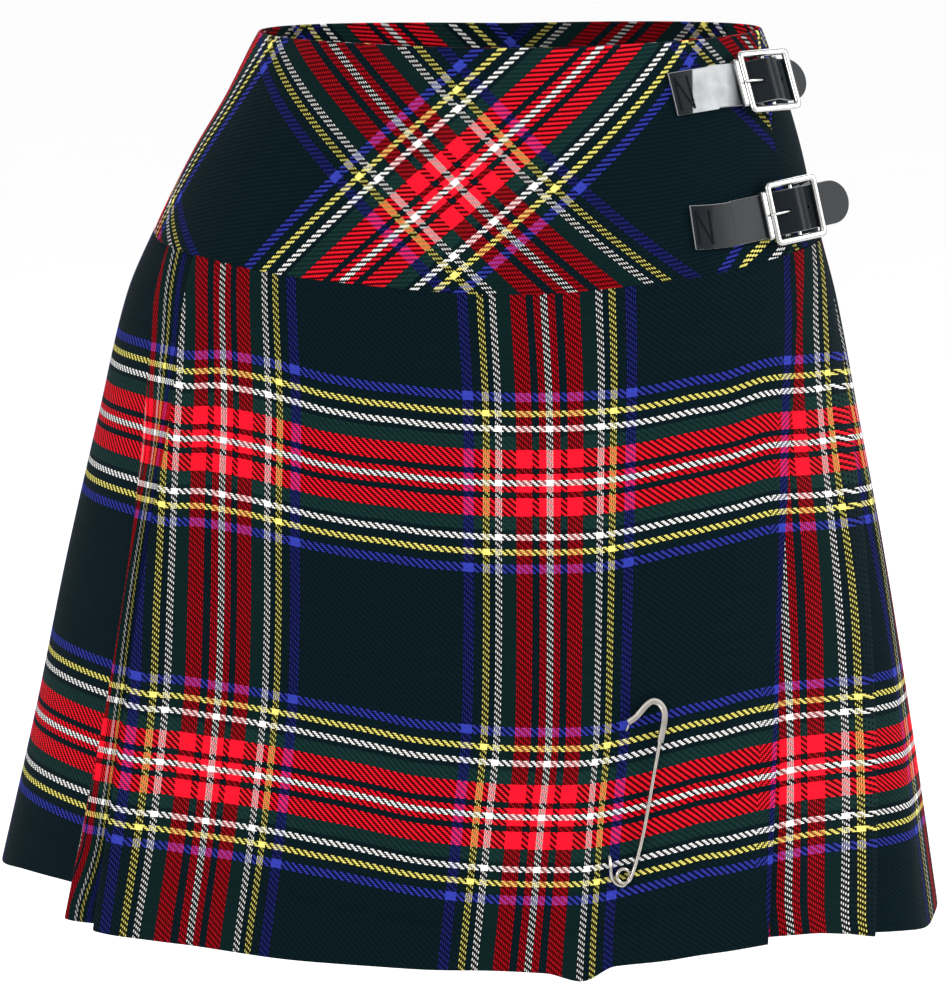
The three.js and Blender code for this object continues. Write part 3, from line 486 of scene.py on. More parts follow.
class Skirt:
    """The grid of the pleated cloth's middle surface, and the place of every point in the flat weave."""

    def __init__(self):
        shares = np.linspace(0, 1, PANEL_ROWS)
        paths = [skirt_path(share) for share in shares]
        self.shares = shares
        self.ends = paths[0][1]
        self.faces = paths[0][2]
        self.angles = np.array([[s[0] for s in stations] for stations, _, _ in paths])
        offsets = np.array([[s[1] for s in stations] for stations, _, _ in paths])
        hems = np.array([s[2] for s in paths[0][0]])[None, :].repeat(PANEL_ROWS, 0)
        top = seam_height(self.angles) - SEAM_GAP / 2
        self.z = mix(top, hem_heights(self.angles, hems), shares[:, None])
        settled = smooth((top - self.z) / CREASE_FADE)
        lift = relief(self.angles, self.z) * settled
        self.points = skin(self.angles, self.z, offsets - CLOTH / 2 + lift)
        self.weave(offsets)

    def weave(self, offsets):
        """u runs across the warp and v up it, in millimetres of flat cloth from a white line's middle."""
        along = lengths_along(self.points)
        before = np.zeros_like(along)
        after = np.zeros_like(along)
        last = 0
        for k, end in enumerate(self.ends):
            u = self.face_u(k, along)
            after[:, last:end + 1] = u[:, last:end + 1]
            before[:, last + 1:end + 1] = u[:, last + 1:end + 1]
            if last == 0:
                before[:, 0] = u[:, 0]
            last = end
        after[:, last] = before[:, last]
        self.u_before = before
        self.u_after = after
        down = lengths_down(self.points)
        band = curve(CROSS_BAND["angle"], CROSS_BAND["z"], wrapped(self.angles)) + SIGHT_SLOPE * offsets
        self.v = np.empty_like(down)
        for j in range(down.shape[1]):
            crossing = np.interp(-band[:, j], -self.z[:, j], down[:, j])
            row = int(np.argmin(np.abs(self.z[:, j] - band[:, j])))
            self.v[:, j] = crossing[row] - down[:, j]
        upper, lower, hem = (curve(CROSS_EASE["angle"], CROSS_EASE[level], wrapped(self.angles))
                             for level in ("upper", "lower", "hem"))
        first, second, third = EASE_LEVELS
        to_lower = np.clip((first - self.z) / (first - second), 0, 1)
        to_hem = np.clip((second - self.z) / (second - third), 0, 1)
        self.v -= mix(mix(upper, lower, to_lower), hem, to_hem)
        from_edge = along - along[:, :1]
        self.turned = np.clip((EDGE_STRIP - from_edge) * EDGE_STRIP_RATE, 0, 1)

    def face_u(self, k, along):
        first, last = self.faces[k]
        angles = self.angles[:, first:last + 1]
        lengths = along[:, first:last + 1]
        z_rows = self.z[:, (first + last) // 2]

        def length_at(anchor):
            return np.array([straight(-a, -angles[i], lengths[i]) for i, a in enumerate(anchor)])

        def between(lines, turn=0.0):
            """u at every station, straight between the face's lines and straight on past the outer ones."""
            places = np.array([length_at(curve(line["z"], line["angle"], z_rows) - turn) for line in lines])
            values = [line["u"] for line in lines]
            return np.array([straight(along[i], places[:, i], values) for i in range(len(along))])

        if k == 0:
            return between(APRON_LINES)
        if k == 1:
            return between(STRIP_LINES)
        if k == len(self.faces) - 1:
            return between(LAP_LINES, TURN)
        side = len(LEFT_CREASES)
        if k == side:
            line = SIDE_LINE
        elif k == len(self.faces) - 2:
            line = RIGHT_FLAT_LINE
        else:
            middle = (angles[:, 0] + angles[:, -1]) / 2
            line = {"u": BACK_FIRST_U - BACK_FACE_WIDTH * (k - side - 1), "angle": middle}
        anchor = length_at(line["angle"] + np.zeros(len(angles)))
        return line["u"] + anchor[:, None] - along


def straight(x, xs, ys):
    """Values at x on straight lines through the points, carried on past both ends."""
    i = np.clip(np.searchsorted(xs, x) - 1, 0, len(xs) - 2)
    xs = np.asarray(xs)
    ys = np.asarray(ys)
    return ys[i] + (x - xs[i]) * (ys[i + 1] - ys[i]) / (xs[i + 1] - xs[i])


def normals_of(points):
    across = np.gradient(points, axis=1)
    down = np.gradient(points, axis=0)
    normal = np.cross(down, across)
    return normal / np.maximum(np.linalg.norm(normal, axis=2, keepdims=True), 1e-9)


def rimmed(grid, reach):
    """The grid with one more ring of points, a little way out past each edge."""

    def step(edge, inner):
        way = edge - inner
        return way / np.maximum(np.linalg.norm(way, axis=-1, keepdims=True), 1e-9) * reach

    wide = np.concatenate([
        (grid[:, 0] + step(grid[:, 0], grid[:, 1]))[:, None],
        grid,
        (grid[:, -1] + step(grid[:, -1], grid[:, -2]))[:, None],
    ], axis=1)
    top = wide[0] + step(wide[0], wide[1])
    low = wide[-1] + step(wide[-1], wide[-2])
    return np.concatenate([top[None], wide, low[None]], axis=0)


def as_mesh_object(name, points, faces, material, crease_angle=40):
    mesh = bpy.data.meshes.new(name)
    mesh.from_pydata((np.asarray(points) * MM).tolist(), [], faces)
    mesh.polygons.foreach_set("use_smooth", [True] * len(mesh.polygons))
    mesh.set_sharp_from_angle(angle=math.radians(crease_angle))
    mesh.materials.append(material)
    piece = bpy.data.objects.new(name, mesh)
    bpy.context.scene.collection.objects.link(piece)
    return piece


def shell(name, grid, thickness, material, uv=None, turned=None):
    """A closed, round-edged wall of one thickness on a grid of middle points."""
    normal = normals_of(grid)
    middle = rimmed(grid, thickness / 2)
    rows, columns = middle.shape[:2]
    ids_out = np.arange(rows * columns).reshape(rows, columns)
    ids_in = ids_out.copy()
    inner_count = (rows - 2) * (columns - 2)
    ids_in[1:-1, 1:-1] = rows * columns + np.arange(inner_count).reshape(rows - 2, columns - 2)
    out_points = middle.copy()
    out_points[1:-1, 1:-1] = grid + normal * thickness / 2
    in_points = grid - normal * thickness / 2
    points = np.concatenate([out_points.reshape(-1, 3), in_points.reshape(-1, 3)])

    def quads(ids, flip):
        a, b, c, d = ids[:-1, :-1], ids[1:, :-1], ids[1:, 1:], ids[:-1, 1:]
        order = (a, d, c, b) if flip else (a, b, c, d)
        return np.stack(order, -1).reshape(-1, 4)

    faces = np.concatenate([quads(ids_out, False), quads(ids_in, True)])
    piece = as_mesh_object(name, points, faces.tolist(), material)
    if uv is not None:
        set_weave(piece.data, uv)
    if turned is not None:
        wide = np.pad(turned, 1, mode="edge")
        layer = piece.data.attributes.new("turned", "FLOAT", "POINT")
        values = np.concatenate([wide.reshape(-1), turned.reshape(-1)])
        layer.data.foreach_set("value", values.astype(np.float32))
    return piece


def set_weave(mesh, uv):
    """Writes the flat place of each face corner; u may jump at a station, so a cell has its own two sides."""
    u_before, u_after, v = (np.pad(part, 1, mode="edge") for part in uv)
    left_u = u_after[:, :-1]
    right_u = u_before[:, 1:]
    a = np.stack([left_u[:-1], v[:-1, :-1]], -1)
    b = np.stack([left_u[1:], v[1:, :-1]], -1)
    c = np.stack([right_u[1:], v[1:, 1:]], -1)
    d = np.stack([right_u[:-1], v[:-1, 1:]], -1)
    outer = np.stack([a, b, c, d], 2).reshape(-1, 2)
    inner = np.stack([a, d, c, b], 2).reshape(-1, 2)
    layer = mesh.uv_layers.new(name="weave")
    layer.data.foreach_set("uv", np.concatenate([outer, inner]).astype(np.float32).reshape(-1))


def declare_cloth(piece, grid, node, hangs_from):
    """Parents the piece to the root and hides the CAD part it replaces; the unfolded grid's width, length and
    steps are measured but not used.
    """
    width = float(lengths_along(grid)[:, -1].max()) * MM
    length = float(lengths_down(grid)[-1].max()) * MM
    steps_along = np.linalg.norm(np.diff(grid, axis=1), axis=2)
    steps_down = np.linalg.norm(np.diff(grid, axis=0), axis=2)
    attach(piece, "root")
    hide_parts(node)
    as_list(hangs_from)


# Materials
# Where the straps' painted highlight fades in and out, in metres
PAINTED_SHEEN_START = 0.0008
PAINTED_SHEEN_END = 0.006


# How the twill's yarns take the light: their bump, and the shade and highlight painted into their colour
TWILL_THREADS = 4.0
WARP_FLOAT = 1.5
FLOAT_DIP = 2.4
FUZZ_HEIGHT = 0.5
TONE_SPREAD = 0.1
GAP_SHADE = 0.18
END_SHADE = 2.0
DARK_RATE = 12.0
UNLIKE_RATE = 3.0
# Painted shade where like yarns cross, and the painted highlight and shade of the rib lines in dark yarns
ALIKE = {"shade": 0.84, "round": 0.24, "weft_rib_highlight": 0.45, "warp_rib_shade": 0.95}


class Value:
    """A number in a material's node tree, which takes the signs of arithmetic."""

    def __init__(self, shader, socket):
        self.shader = shader
        self.socket = socket

    def __add__(self, other):
        return self.shader.math("ADD", self, other)

    def __sub__(self, other):
        return self.shader.math("SUBTRACT", self, other)

    def __rsub__(self, other):
        return self.shader.math("SUBTRACT", other, self)

    def __mul__(self, other):
        return self.shader.math("MULTIPLY", self, other)

    def __truediv__(self, other):
        return self.shader.math("DIVIDE", self, other)

    def __pow__(self, other):
        return self.shader.math("POWER", self, other)


class Shader:
    """A material's node tree, with short ways to add nodes and link them."""

    def __init__(self, name):
        self.material = bpy.data.materials.new(name)
        self.material.use_nodes = True
        self.tree = self.material.node_tree
        self.principled = self.tree.nodes["Principled BSDF"]

    def node(self, kind, *sources, **settings):
        """A new node with its settings, and its first sockets linked or set."""
        node = self.tree.nodes.new(kind)
        for key, value in settings.items():
            setattr(node, key, value)
        for socket, source in zip(node.inputs, sources):
            self.plug(source, socket)
        return node

    def plug(self, source, target):
        if isinstance(source, Value):
            source = source.socket
        if isinstance(source, bpy.types.NodeSocket):
            self.tree.links.new(source, target)
        else:
            target.default_value = source

    def math(self, operation, *values):
        return Value(self, self.node("ShaderNodeMath", *values, operation=operation).outputs[0])

    def measure(self, operation, *vectors):
        node = self.node("ShaderNodeVectorMath", *vectors, operation=operation)
        return Value(self, node.outputs["Value"])

    def parts(self, vector):
        return [Value(self, socket) for socket in self.node("ShaderNodeSeparateXYZ", vector).outputs]

    def green(self, colour):
        return Value(self, self.node("ShaderNodeSeparateColor", colour).outputs[1])

    def noise(self, scale, detail):
        place = self.node("ShaderNodeTexCoord").outputs["Object"]
        node = self.node("ShaderNodeTexNoise", place)
        node.inputs["Scale"].default_value = scale
        node.inputs["Detail"].default_value = detail
        return Value(self, node.outputs["Fac"])

    def map_range(self, value, **ends):
        node = self.node("ShaderNodeMapRange", value)
        for key, end in ends.items():
            node.inputs[key.replace("_", " ").title()].default_value = end
        return Value(self, node.outputs["Result"])

    def spread(self, value, low, high):
        """A value from 0 to 1 set between low and high."""
        return self.map_range(value, to_min=low, to_max=high)

    def ramp(self, value, start, end):
        """From 0 where the value is at the start to 1 where it is at the end."""
        return self.map_range(value, from_min=start, from_max=end)

    def blend(self, factor, first, second, kind="MIX"):
        node = self.node("ShaderNodeMix", data_type="RGBA", blend_type=kind)
        self.plug(factor, node.inputs["Factor"])
        self.plug(first, node.inputs[6])
        self.plug(second, node.inputs[7])
        return node.outputs[2]

    def bump(self, height, distance, strength):
        node = self.node("ShaderNodeBump")
        node.inputs["Strength"].default_value = strength
        node.inputs["Distance"].default_value = distance
        self.plug(height, node.inputs["Height"])
        self.plug(node.outputs["Normal"], self.principled.inputs["Normal"])

    def set(self, **values):
        """Sets or links the surface's own inputs."""
        for key, value in values.items():
            self.plug(value, self.principled.inputs[key.replace("_", " ")])


def stripes(shader, thread, sett):
    """The yarn's colour at a thread counted from the middle of a white line, mirrored at the sett's ends."""
    total = float(sum(count for _, count in sett))
    folded = shader.math("PINGPONG", thread + 0.5, total)
    ramp = shader.node("ShaderNodeValToRGB", folded / total)
    ramp.color_ramp.interpolation = "CONSTANT"
    stops = ramp.color_ramp.elements
    stops.remove(stops[1])
    counted = 0
    for i, (yarn, count) in enumerate(sett):
        stop = stops[0] if i == 0 else stops.new(counted / total)
        stop.position = counted / total
        stop.color = (*YARN[yarn], 1.0)
        counted += count
    return ramp.outputs["Color"]


def yarn_shade(shader, thread, tone):
    """A little lighter or darker than the tone, from thread to thread."""
    node = shader.node("ShaderNodeTexWhiteNoise", noise_dimensions="1D")
    shader.plug(thread, node.inputs["W"])
    value = Value(shader, node.outputs["Value"])
    return shader.spread(value, (1 - TONE_SPREAD) * tone, (1 + TONE_SPREAD) * tone)


def tartan_material():
    shader = Shader("tartan_twill")
    place = shader.node("ShaderNodeUVMap", uv_map="weave").outputs["UV"]
    across, up, _ = shader.parts(place)
    warp_at = across / WARP_THREAD
    weft_at = up / WEFT_THREAD
    warp = shader.math("FLOOR", warp_at)
    weft = shader.math("FLOOR", weft_at)
    turned = shader.node("ShaderNodeAttribute", attribute_name="turned").outputs["Fac"]
    way = 1.0 - shader.math("GREATER_THAN", turned, 0.5) * 2.0
    lift = shader.math("FLOORED_MODULO", warp * way + weft, TWILL_THREADS)
    warp_part = warp_at - warp
    weft_part = weft_at - weft
    warp_off = shader.math("ABSOLUTE", warp_part - 0.5)
    weft_off = shader.math("ABSOLUTE", weft_part - 0.5)
    within = shader.math("LESS_THAN", warp_off, WARP_COVER / 2)
    covered = shader.math("LESS_THAN", lift, WARP_FLOAT) * within

    def on_top(of_warp, of_weft):
        """The warp's value where the warp covers the weft, and else the weft's."""
        return covered * of_warp + (1.0 - covered) * of_weft

    warp_colour = stripes(shader, warp, WARP_SETT)
    weft_colour = stripes(shader, weft, WEFT_SETT)
    # Each yarn a little lighter or darker at random, and the warp's darkened further by painted shade
    yarn_tone = on_top(yarn_shade(shader, warp, WARP_SHADE_TONE), yarn_shade(shader, weft, 1.0))
    upper = shader.blend(covered, weft_colour, warp_colour)
    lower = shader.blend(covered, warp_colour, weft_colour)
    tinted = shader.blend(1.0, upper, shader.blend(YARN_TINT, upper, lower), "COLOR")
    glow = (1.0 - shader.green(lower)) ** 2.0 * YARN_GLOW
    colour = shader.blend(glow, tinted, lower, "ADD")

    # Round yarns: each float is high along its middle and dips where it goes under the next yarn
    rounded = on_top(1.0 - warp_off ** 2.0 * 4.0, 1.0 - weft_off ** 2.0 * 4.0)
    run = on_top((lift + weft_part) * 0.5, (lift - 2.0 + warp_part) * 0.5)
    run_off = shader.math("ABSOLUTE", run - 0.5)
    dip = shader.math("MINIMUM", run_off, 0.5) ** 2.0 * FLOAT_DIP
    height = rounded + shader.noise(scale=2600.0, detail=3.0) * FUZZ_HEIGHT - dip

    # Painted shade: the gaps between yarns, the ends of floats and the sides of round yarns are darkened, but
    # only a little where the two yarns that cross are alike; there, in dark yarns, the weft floats get a
    # painted highlight and the warp floats a painted shade, which show the twill's rib lines
    ends = 1.0 - run_off ** 2.0 * END_SHADE
    deep = rounded * ends * (1 - GAP_SHADE) + GAP_SHADE
    dark = shader.math("MAXIMUM", 1.0 - shader.measure("LENGTH", colour) * DARK_RATE, 0.0)
    rib_light_and_shade = dark * (ALIKE["weft_rib_highlight"] - covered * ALIKE["warp_rib_shade"])
    shallow = rib_light_and_shade + ALIKE["shade"] + rounded * ALIKE["round"]
    apart = shader.measure("DISTANCE", warp_colour, weft_colour)
    unlike = shader.math("MINIMUM", apart * UNLIKE_RATE, 1.0)
    shade = shallow + unlike * (deep - shallow)

    # Painted shade: red and blue warp yarns are darkened where they cover unlike weft, as they sink deeper
    # between the weft yarns than the pale ones
    sunk_shade = (1.0 - shader.green(upper)) * (covered * unlike)
    shade = shade * (1.0 - sunk_shade * WARP_SINK_SHADE)
    worn = shader.spread(shader.noise(scale=24.0, detail=3.0), low=0.94, high=1.06)
    toned = shader.node("ShaderNodeVectorMath", colour, operation="SCALE")
    shader.plug(yarn_tone * shade * worn, toned.inputs["Scale"])
    shader.bump(height, distance=0.00016, strength=0.9)
    shader.set(Base_Color=toned.outputs[0], Roughness=0.85, Specular_IOR_Level=0.025, Sheen_Weight=0.01,
               Sheen_Roughness=0.4)
    return shader.material


def leather_material(name, painted_sheen=None):
    """Dull black leather; a painted highlight is a silver tone, standing in for reflected light, between two
    places from left to right.
    """
    shader = Shader(name)
    broad = shader.noise(scale=45.0, detail=3.0)
    mottle = shader.spread(broad, low=0.2, high=0.8)
    colour = shader.blend(mottle, (0.003, 0.005, 0.007, 1), (0.008, 0.011, 0.014, 1))
    if painted_sheen is not None:
        # Painted highlight: a patchy silver tone stands in for the light the leather reflects
        tone, left, right = painted_sheen
        across = shader.parts(shader.node("ShaderNodeTexCoord").outputs["Object"])[0]
        inside = shader.ramp(across, left, left + PAINTED_SHEEN_START) * shader.ramp(across, right, right - PAINTED_SHEEN_END)
        strength = inside * shader.spread(shader.noise(scale=110.0, detail=4.0), low=0.35, high=1.0)
        colour = shader.blend(strength, colour, (tone * 0.93, tone * 0.97, tone, 1))
    shader.bump(shader.noise(scale=900.0, detail=4.0), distance=0.00006, strength=0.6)
    rough = shader.spread(broad, low=0.24, high=0.34)
    shader.set(Base_Color=colour, Roughness=rough, Specular_IOR_Level=0.09)
    return shader.material


def raw_leather_material():
    shader = Shader("cut_leather_edge")
    grain = shader.noise(scale=1500.0, detail=3.0)
    colour = shader.blend(grain, (0.10, 0.10, 0.11, 1), (0.34, 0.34, 0.36, 1))
    shader.bump(grain, distance=0.0001, strength=0.6)
    shader.set(Base_Color=colour, Roughness=0.7)
    return shader.material


def steel_material(name, dark, bright):
    shader = Shader(name)
    brushed = shader.noise(scale=260.0, detail=3.0)
    colour = shader.blend(brushed, dark, bright)
    shader.bump(shader.noise(scale=1800.0, detail=2.0), distance=0.00002, strength=0.5)
    shader.set(Base_Color=colour, Roughness=shader.spread(brushed, low=0.16, high=0.30), Metallic=1.0)
    return shader.material


def thread_material():
    shader = Shader("black_thread")
    twist = shader.noise(scale=3000.0, detail=2.0)
    colour = shader.blend(twist, (0.004, 0.004, 0.005, 1), (0.012, 0.012, 0.014, 1))
    shader.bump(twist, distance=0.0001, strength=0.7)
    shader.set(Base_Color=colour, Roughness=0.8, Specular_IOR_Level=0.05)
    return shader.material


TARTAN = tartan_material()
LEATHER = leather_material("strap_leather")
RAW_LEATHER = raw_leather_material()
STEEL = steel_material("nickel_plate", (0.38, 0.38, 0.37, 1), (0.50, 0.50, 0.49, 1))
PIN_STEEL = steel_material("pin_wire_steel", (0.30, 0.28, 0.25, 1), (0.50, 0.47, 0.43, 1))
THREAD = thread_material()

# The pleated cloth's pieces: which crease ends each one, counted from the left of the over-apron
CLOTH_PIECES = [
    ("over_apron", 1, ["front_yoke"]),
    ("left_side_panel", 3, ["front_yoke", "back_yoke"]),
    ("back_pleats_left", 7, ["back_yoke"]),
    ("back_pleats_middle", 11, ["back_yoke"]),
    ("back_pleats_right", 14, ["back_yoke"]),
    ("right_side_panel", 15, ["back_yoke"]),
    ("under_apron", 16, ["under_yoke"]),
]


def make_skirt():
    skirt = Skirt()
    start = 0
    for node, until, hangs_from in CLOTH_PIECES:
        end = skirt.ends[until - 1]
        part = slice(start, end + 1)
        grid = skirt.points[:, part].copy()
        gap = SEAM_GAP / 2 + CLOTH_WALL / 2
        for edge, inner, cut in ((0, 1, start > 0), (-1, -2, end < skirt.points.shape[1] - 1)):
            if cut:
                way = grid[:, inner] - grid[:, edge]
                grid[:, edge] += way / np.linalg.norm(way, axis=-1, keepdims=True) * gap
        uv = (skirt.u_before[:, part], skirt.u_after[:, part], skirt.v[:, part])
        turned = skirt.turned[:, part] if start == 0 else None
        piece = shell(node + "_cloth", grid, CLOTH_WALL, TARTAN, uv, turned)
        declare_cloth(piece, grid, node, hangs_from)
        start = end


# Yoke
def yoke_grid(start, end, steps, offset_at):
    """Middle points of a yoke piece, its angles and heights, from the top edge to the seam."""
    rows = np.linspace(0, 1, YOKE_ROWS)
    shares = np.repeat(rows[:, None], steps + 1, axis=1)
    across = np.linspace(0, 1, steps + 1)[None, :]
    angles = mix(start(rows)[:, None], end(rows)[:, None], across)
    z = mix(top_height(angles), seam_height(angles) + SEAM_GAP / 2, shares)
    roll = -TOP_ROLL * np.exp(-shares * TOP_ROLL_RATE) - SEAM_ROLL * np.exp(-(1 - shares) * SEAM_ROLL_RATE)
    points = skin(angles, z, offset_at(angles, shares) - YOKE_CLOTH / 2 + roll)
    return points, angles, z


def arc_from(angle, angles, z):
    """Length round the surface from one angle to each point's angle, at its own height."""
    samples = np.linspace(0, 1, ARC_SAMPLES)[:, None, None]
    path = surface(mix(angle, angles[None], samples), np.broadcast_to(z[None], (ARC_SAMPLES,) + z.shape))[0]
    return np.sign(angles - angle) * np.linalg.norm(np.diff(path, axis=0), axis=-1).sum(0)


def bias(along, up):
    """The cloth turned an eighth: u runs to the right and up, and v to the left and up."""
    root = math.sqrt(2)
    return (along + up) / root, (up - along) / root


def grain(terms, p, q):
    """The sum of a table's terms."""
    return sum(factor * p ** term.count("p") * q ** term.count("q") for term, factor in terms.items())


def front_yoke_weave(angles, z):
    p = arc_from(YOKE_CROSSING["angle"], angles, z) / YOKE_SPAN
    q = (z - YOKE_CROSSING["z"]) / YOKE_RISE
    u, v = bias(grain(YOKE_ALONG, p, q), grain(YOKE_UP, p, q))
    return u, v + EDGE_EASE * np.maximum(p - EDGE_EASE_FROM, 0)


def plain_yoke_weave(middle, along_shift, up_shift):
    def weave(angles, z):
        up = (z - YOKE_CROSSING["z"]) * PLAIN_YOKE_RISE + up_shift
        return bias(arc_from(middle, angles, z) + along_shift, up)
    return weave


def make_yoke_piece(node, start, end, steps, offset_at, weave):
    grid, angles, z = yoke_grid(start, end, steps, offset_at)
    u, v = weave(angles, z)
    piece = shell(node + "_cloth", grid[:, ::-1], YOKE_WALL, TARTAN, (u[:, ::-1], u[:, ::-1], v[:, ::-1]))
    declare_cloth(piece, grid, node, [])


def make_yokes():
    gap = (SEAM_GAP / 2 + YOKE_WALL / 2) / arc_per_degree(LEFT_SIDE_SEAM, MEAN_SEAM_LEVEL / 2)

    def free_edge(share):
        return curve(YOKE_FREE_EDGE["share"], YOKE_FREE_EDGE["angle"], share)

    def level(angles, shares):
        return 0 * angles

    def rising(angles, shares):
        start = free_edge(shares) + LAP_MARGIN
        return -UNDER_YOKE_DEPTH * (1 - smooth((angles - start) / (RIGHT_SIDE_SEAM - start)))

    def fixed(angle):
        return lambda share: np.full_like(share, angle)

    make_yoke_piece("front_yoke", fixed(LEFT_SIDE_SEAM + gap), free_edge, YOKE_STEPS["front"], level,
                    front_yoke_weave)
    make_yoke_piece("back_yoke", fixed(RIGHT_SIDE_SEAM + gap), fixed(LEFT_SIDE_SEAM + TURN - gap),
                    YOKE_STEPS["back"], level, plain_yoke_weave(180, 0, 0))
    make_yoke_piece("under_yoke", fixed(UNDER_YOKE_END), fixed(RIGHT_SIDE_SEAM - gap), YOKE_STEPS["under"],
                    rising, plain_yoke_weave(*UNDER_YOKE_DARK))


# Straps, buckles and tabs
STRAP_WIDTH = 22
STRAP_THICKNESS = 2
STRAP_SEAT = 0.4
TIP_START = 3
STRAP_HUMP = 5.2
HUMP_REACH = 13
FRAME_SIZE = 33
FRAME_BAR = 3.4
FRAME_DEPTH = 2.6
FRAME_CORNER = 3
FRAME_LEVEL = 3.9
OPENING_CORNER = 0.8
CENTRE_BAR_LEVEL = 2.7
CENTRE_BAR_RADIUS = 1.2
BAR_DROP = CENTRE_BAR_LEVEL - FRAME_LEVEL
KEEPER_WIDTH = 3.2
KEEPER_HEIGHT = 25.4
KEEPER_WALL = 1
KEEPER_AT = -18.3
KEEPER_CROWN = 1.9
KEEPER_CORNER = 1.6
KEEPER_OPENING_CORNER = 0.4
RUNNING_GAP = 0.3
EYE_WALL = 1.2
EYE_WIDTH = 2
PRONG_RADIUS = 0.8
PRONG = {"along": [-1.4, -8, -14, -17.4], "rise": [0.1, 1.75, 2.35, 2.2]}
HOLE_RADIUS = 1.2
SPARE_HOLE_AT = 8.5
TAB_WIDTH = 20
TAB_CLOTH = 1
TAB_ANGLES = [83.5, 79.5, 75.5, 72.5]
TAB_SLOT = 2.8
STITCH_BOX = 9.5
STITCH_MARGIN = 2.2
STITCHES = 6
STITCH_STEPS = 7
STITCH_SHARE = (0.12, 0.88)
STITCH_ARCH = 0.25
STITCH_RADIUS = 0.5
STRAP_EDGE = 0.35
# How far past the stitches the painted highlight starts
PAINTED_SHEEN_GAP = 1.5
SLOPE_STEP = 0.1
FLARE_STEP = 5
PRONG_STEPS = 26
PRONG_POINT_STEPS = 6
PRONG_POINT = 0.82
HOLE_STEPS = 14
HOLE_REACH = 4
TAB_LINES = 9
TAB_YOKE_STEPS = 13
TAB_LOOP_STEPS = 17
TAB_SLOT_SHARE = 0.98
BAR_STEPS = 9

# Where each strap starts round the yoke, its slopes, where it leaves the yoke, its lengths from there to the
# buckle's middle and from that to its tip, and the tone of the painted highlight that stands in for its
# reflected light
STRAPS = [
    {"name": "upper", "start": 39.6, "z": -23, "rises": (0.12, 0.08, 0.04), "leaves": 50,
     "to_buckle": 34.4, "tip": 25.5, "painted_sheen": 0.50},
    {"name": "lower", "start": 38.6, "z": -88.7, "rises": (-0.02, 0.08, 0.12), "leaves": 47.5,
     "to_buckle": 38, "tip": 36, "painted_sheen": 0.018},
]


def unit(vector):
    return vector / np.linalg.norm(vector)


class StrapRun:
    """Where a strap goes: round the yoke, then straight, with u along it, v up it and w out of it."""

    def __init__(self, strap):
        self.strap = strap
        self.to_buckle = strap["to_buckle"]
        leaves = strap["leaves"]
        z = self.height_at(leaves)
        point, out = surface(leaves, z)
        below = surface(leaves, z - FLARE_STEP)[0]
        above = surface(leaves, z + FLARE_STEP)[0]
        flare = (below - above) @ out / (2 * FLARE_STEP)
        self.point = point
        self.w = unit(np.array([out[0], out[1], flare]))
        u = np.array([-out[1], out[0], strap["rises"][2]])
        self.u = unit(u - self.w * (u @ self.w))
        self.v = np.cross(self.w, self.u)

    def height_at(self, angle):
        strap = self.strap
        t = (angle - strap["start"]) / (strap["leaves"] - strap["start"])
        arc = arc_per_degree(angle, strap["z"]) * (angle - strap["start"])
        return strap["z"] + arc * mix(strap["rises"][0], strap["rises"][1], t / 2)

    def place(self, a, b, c):
        a, b, c = (np.asarray(x, float)[..., None] for x in (a, b, c))
        return self.point + self.u * a + self.v * b + self.w * c

    def on_buckle(self, points):
        """Points made round the buckle's centre, level with its frame, put in place."""
        points = np.asarray(points, float)
        return self.place(points[..., 0] + self.to_buckle, points[..., 1], points[..., 2] + FRAME_LEVEL)


def hump_at(from_buckle):
    t = np.minimum(np.abs(from_buckle) / HUMP_REACH, 1)
    return STRAP_SEAT + STRAP_THICKNESS / 2 + STRAP_HUMP * np.cos(t * math.pi / 2) ** 2


STRAP_LINES = 18
STRAP_YOKE_STEPS = 16
STRAP_LEVEL_STEPS = 90
STRAP_TIP_STEPS = 14


def strap_grid(run):
    """Middle points of the strap, one row for each line along it, and the way out of it at each."""
    half = STRAP_WIDTH / 2
    strap = run.strap
    round_centre = run.to_buckle + strap["tip"] - half
    rows = []
    outs = []
    for line in range(STRAP_LINES + 1):
        across = half * math.sin((line / STRAP_LINES - 0.5) * math.pi)
        tip = round_centre + math.sqrt(max(half ** 2 - across ** 2, 0.0))
        angles = np.linspace(strap["start"], strap["leaves"], STRAP_YOKE_STEPS + 1)[:-1]
        z = np.array([run.height_at(a) for a in angles]) + across * run.v[2]
        on_yoke = skin(angles, z, np.full(len(angles), STRAP_SEAT + STRAP_THICKNESS / 2))
        yoke_out = surface(angles, z)[1]
        straight_end = round_centre - TIP_START
        level_run = np.linspace(0, straight_end, STRAP_LEVEL_STEPS)
        u = np.concatenate([level_run, steps_to(straight_end, tip, STRAP_TIP_STEPS)])
        from_buckle = u - run.to_buckle
        rise = (hump_at(from_buckle + SLOPE_STEP) - hump_at(from_buckle - SLOPE_STEP)) / (2 * SLOPE_STEP)
        level_part = run.place(u, np.full(len(u), across), hump_at(from_buckle))
        tilt = run.w[None, :] - run.u[None, :] * rise[:, None]
        rows.append(np.concatenate([on_yoke, level_part]))
        outs.append(np.concatenate([yoke_out, tilt / np.linalg.norm(tilt, axis=1, keepdims=True)]))
    return np.array(rows), np.array(outs)


BULGE_TURNS = (0.75, 0.4, 0.0, -0.4, -0.75)


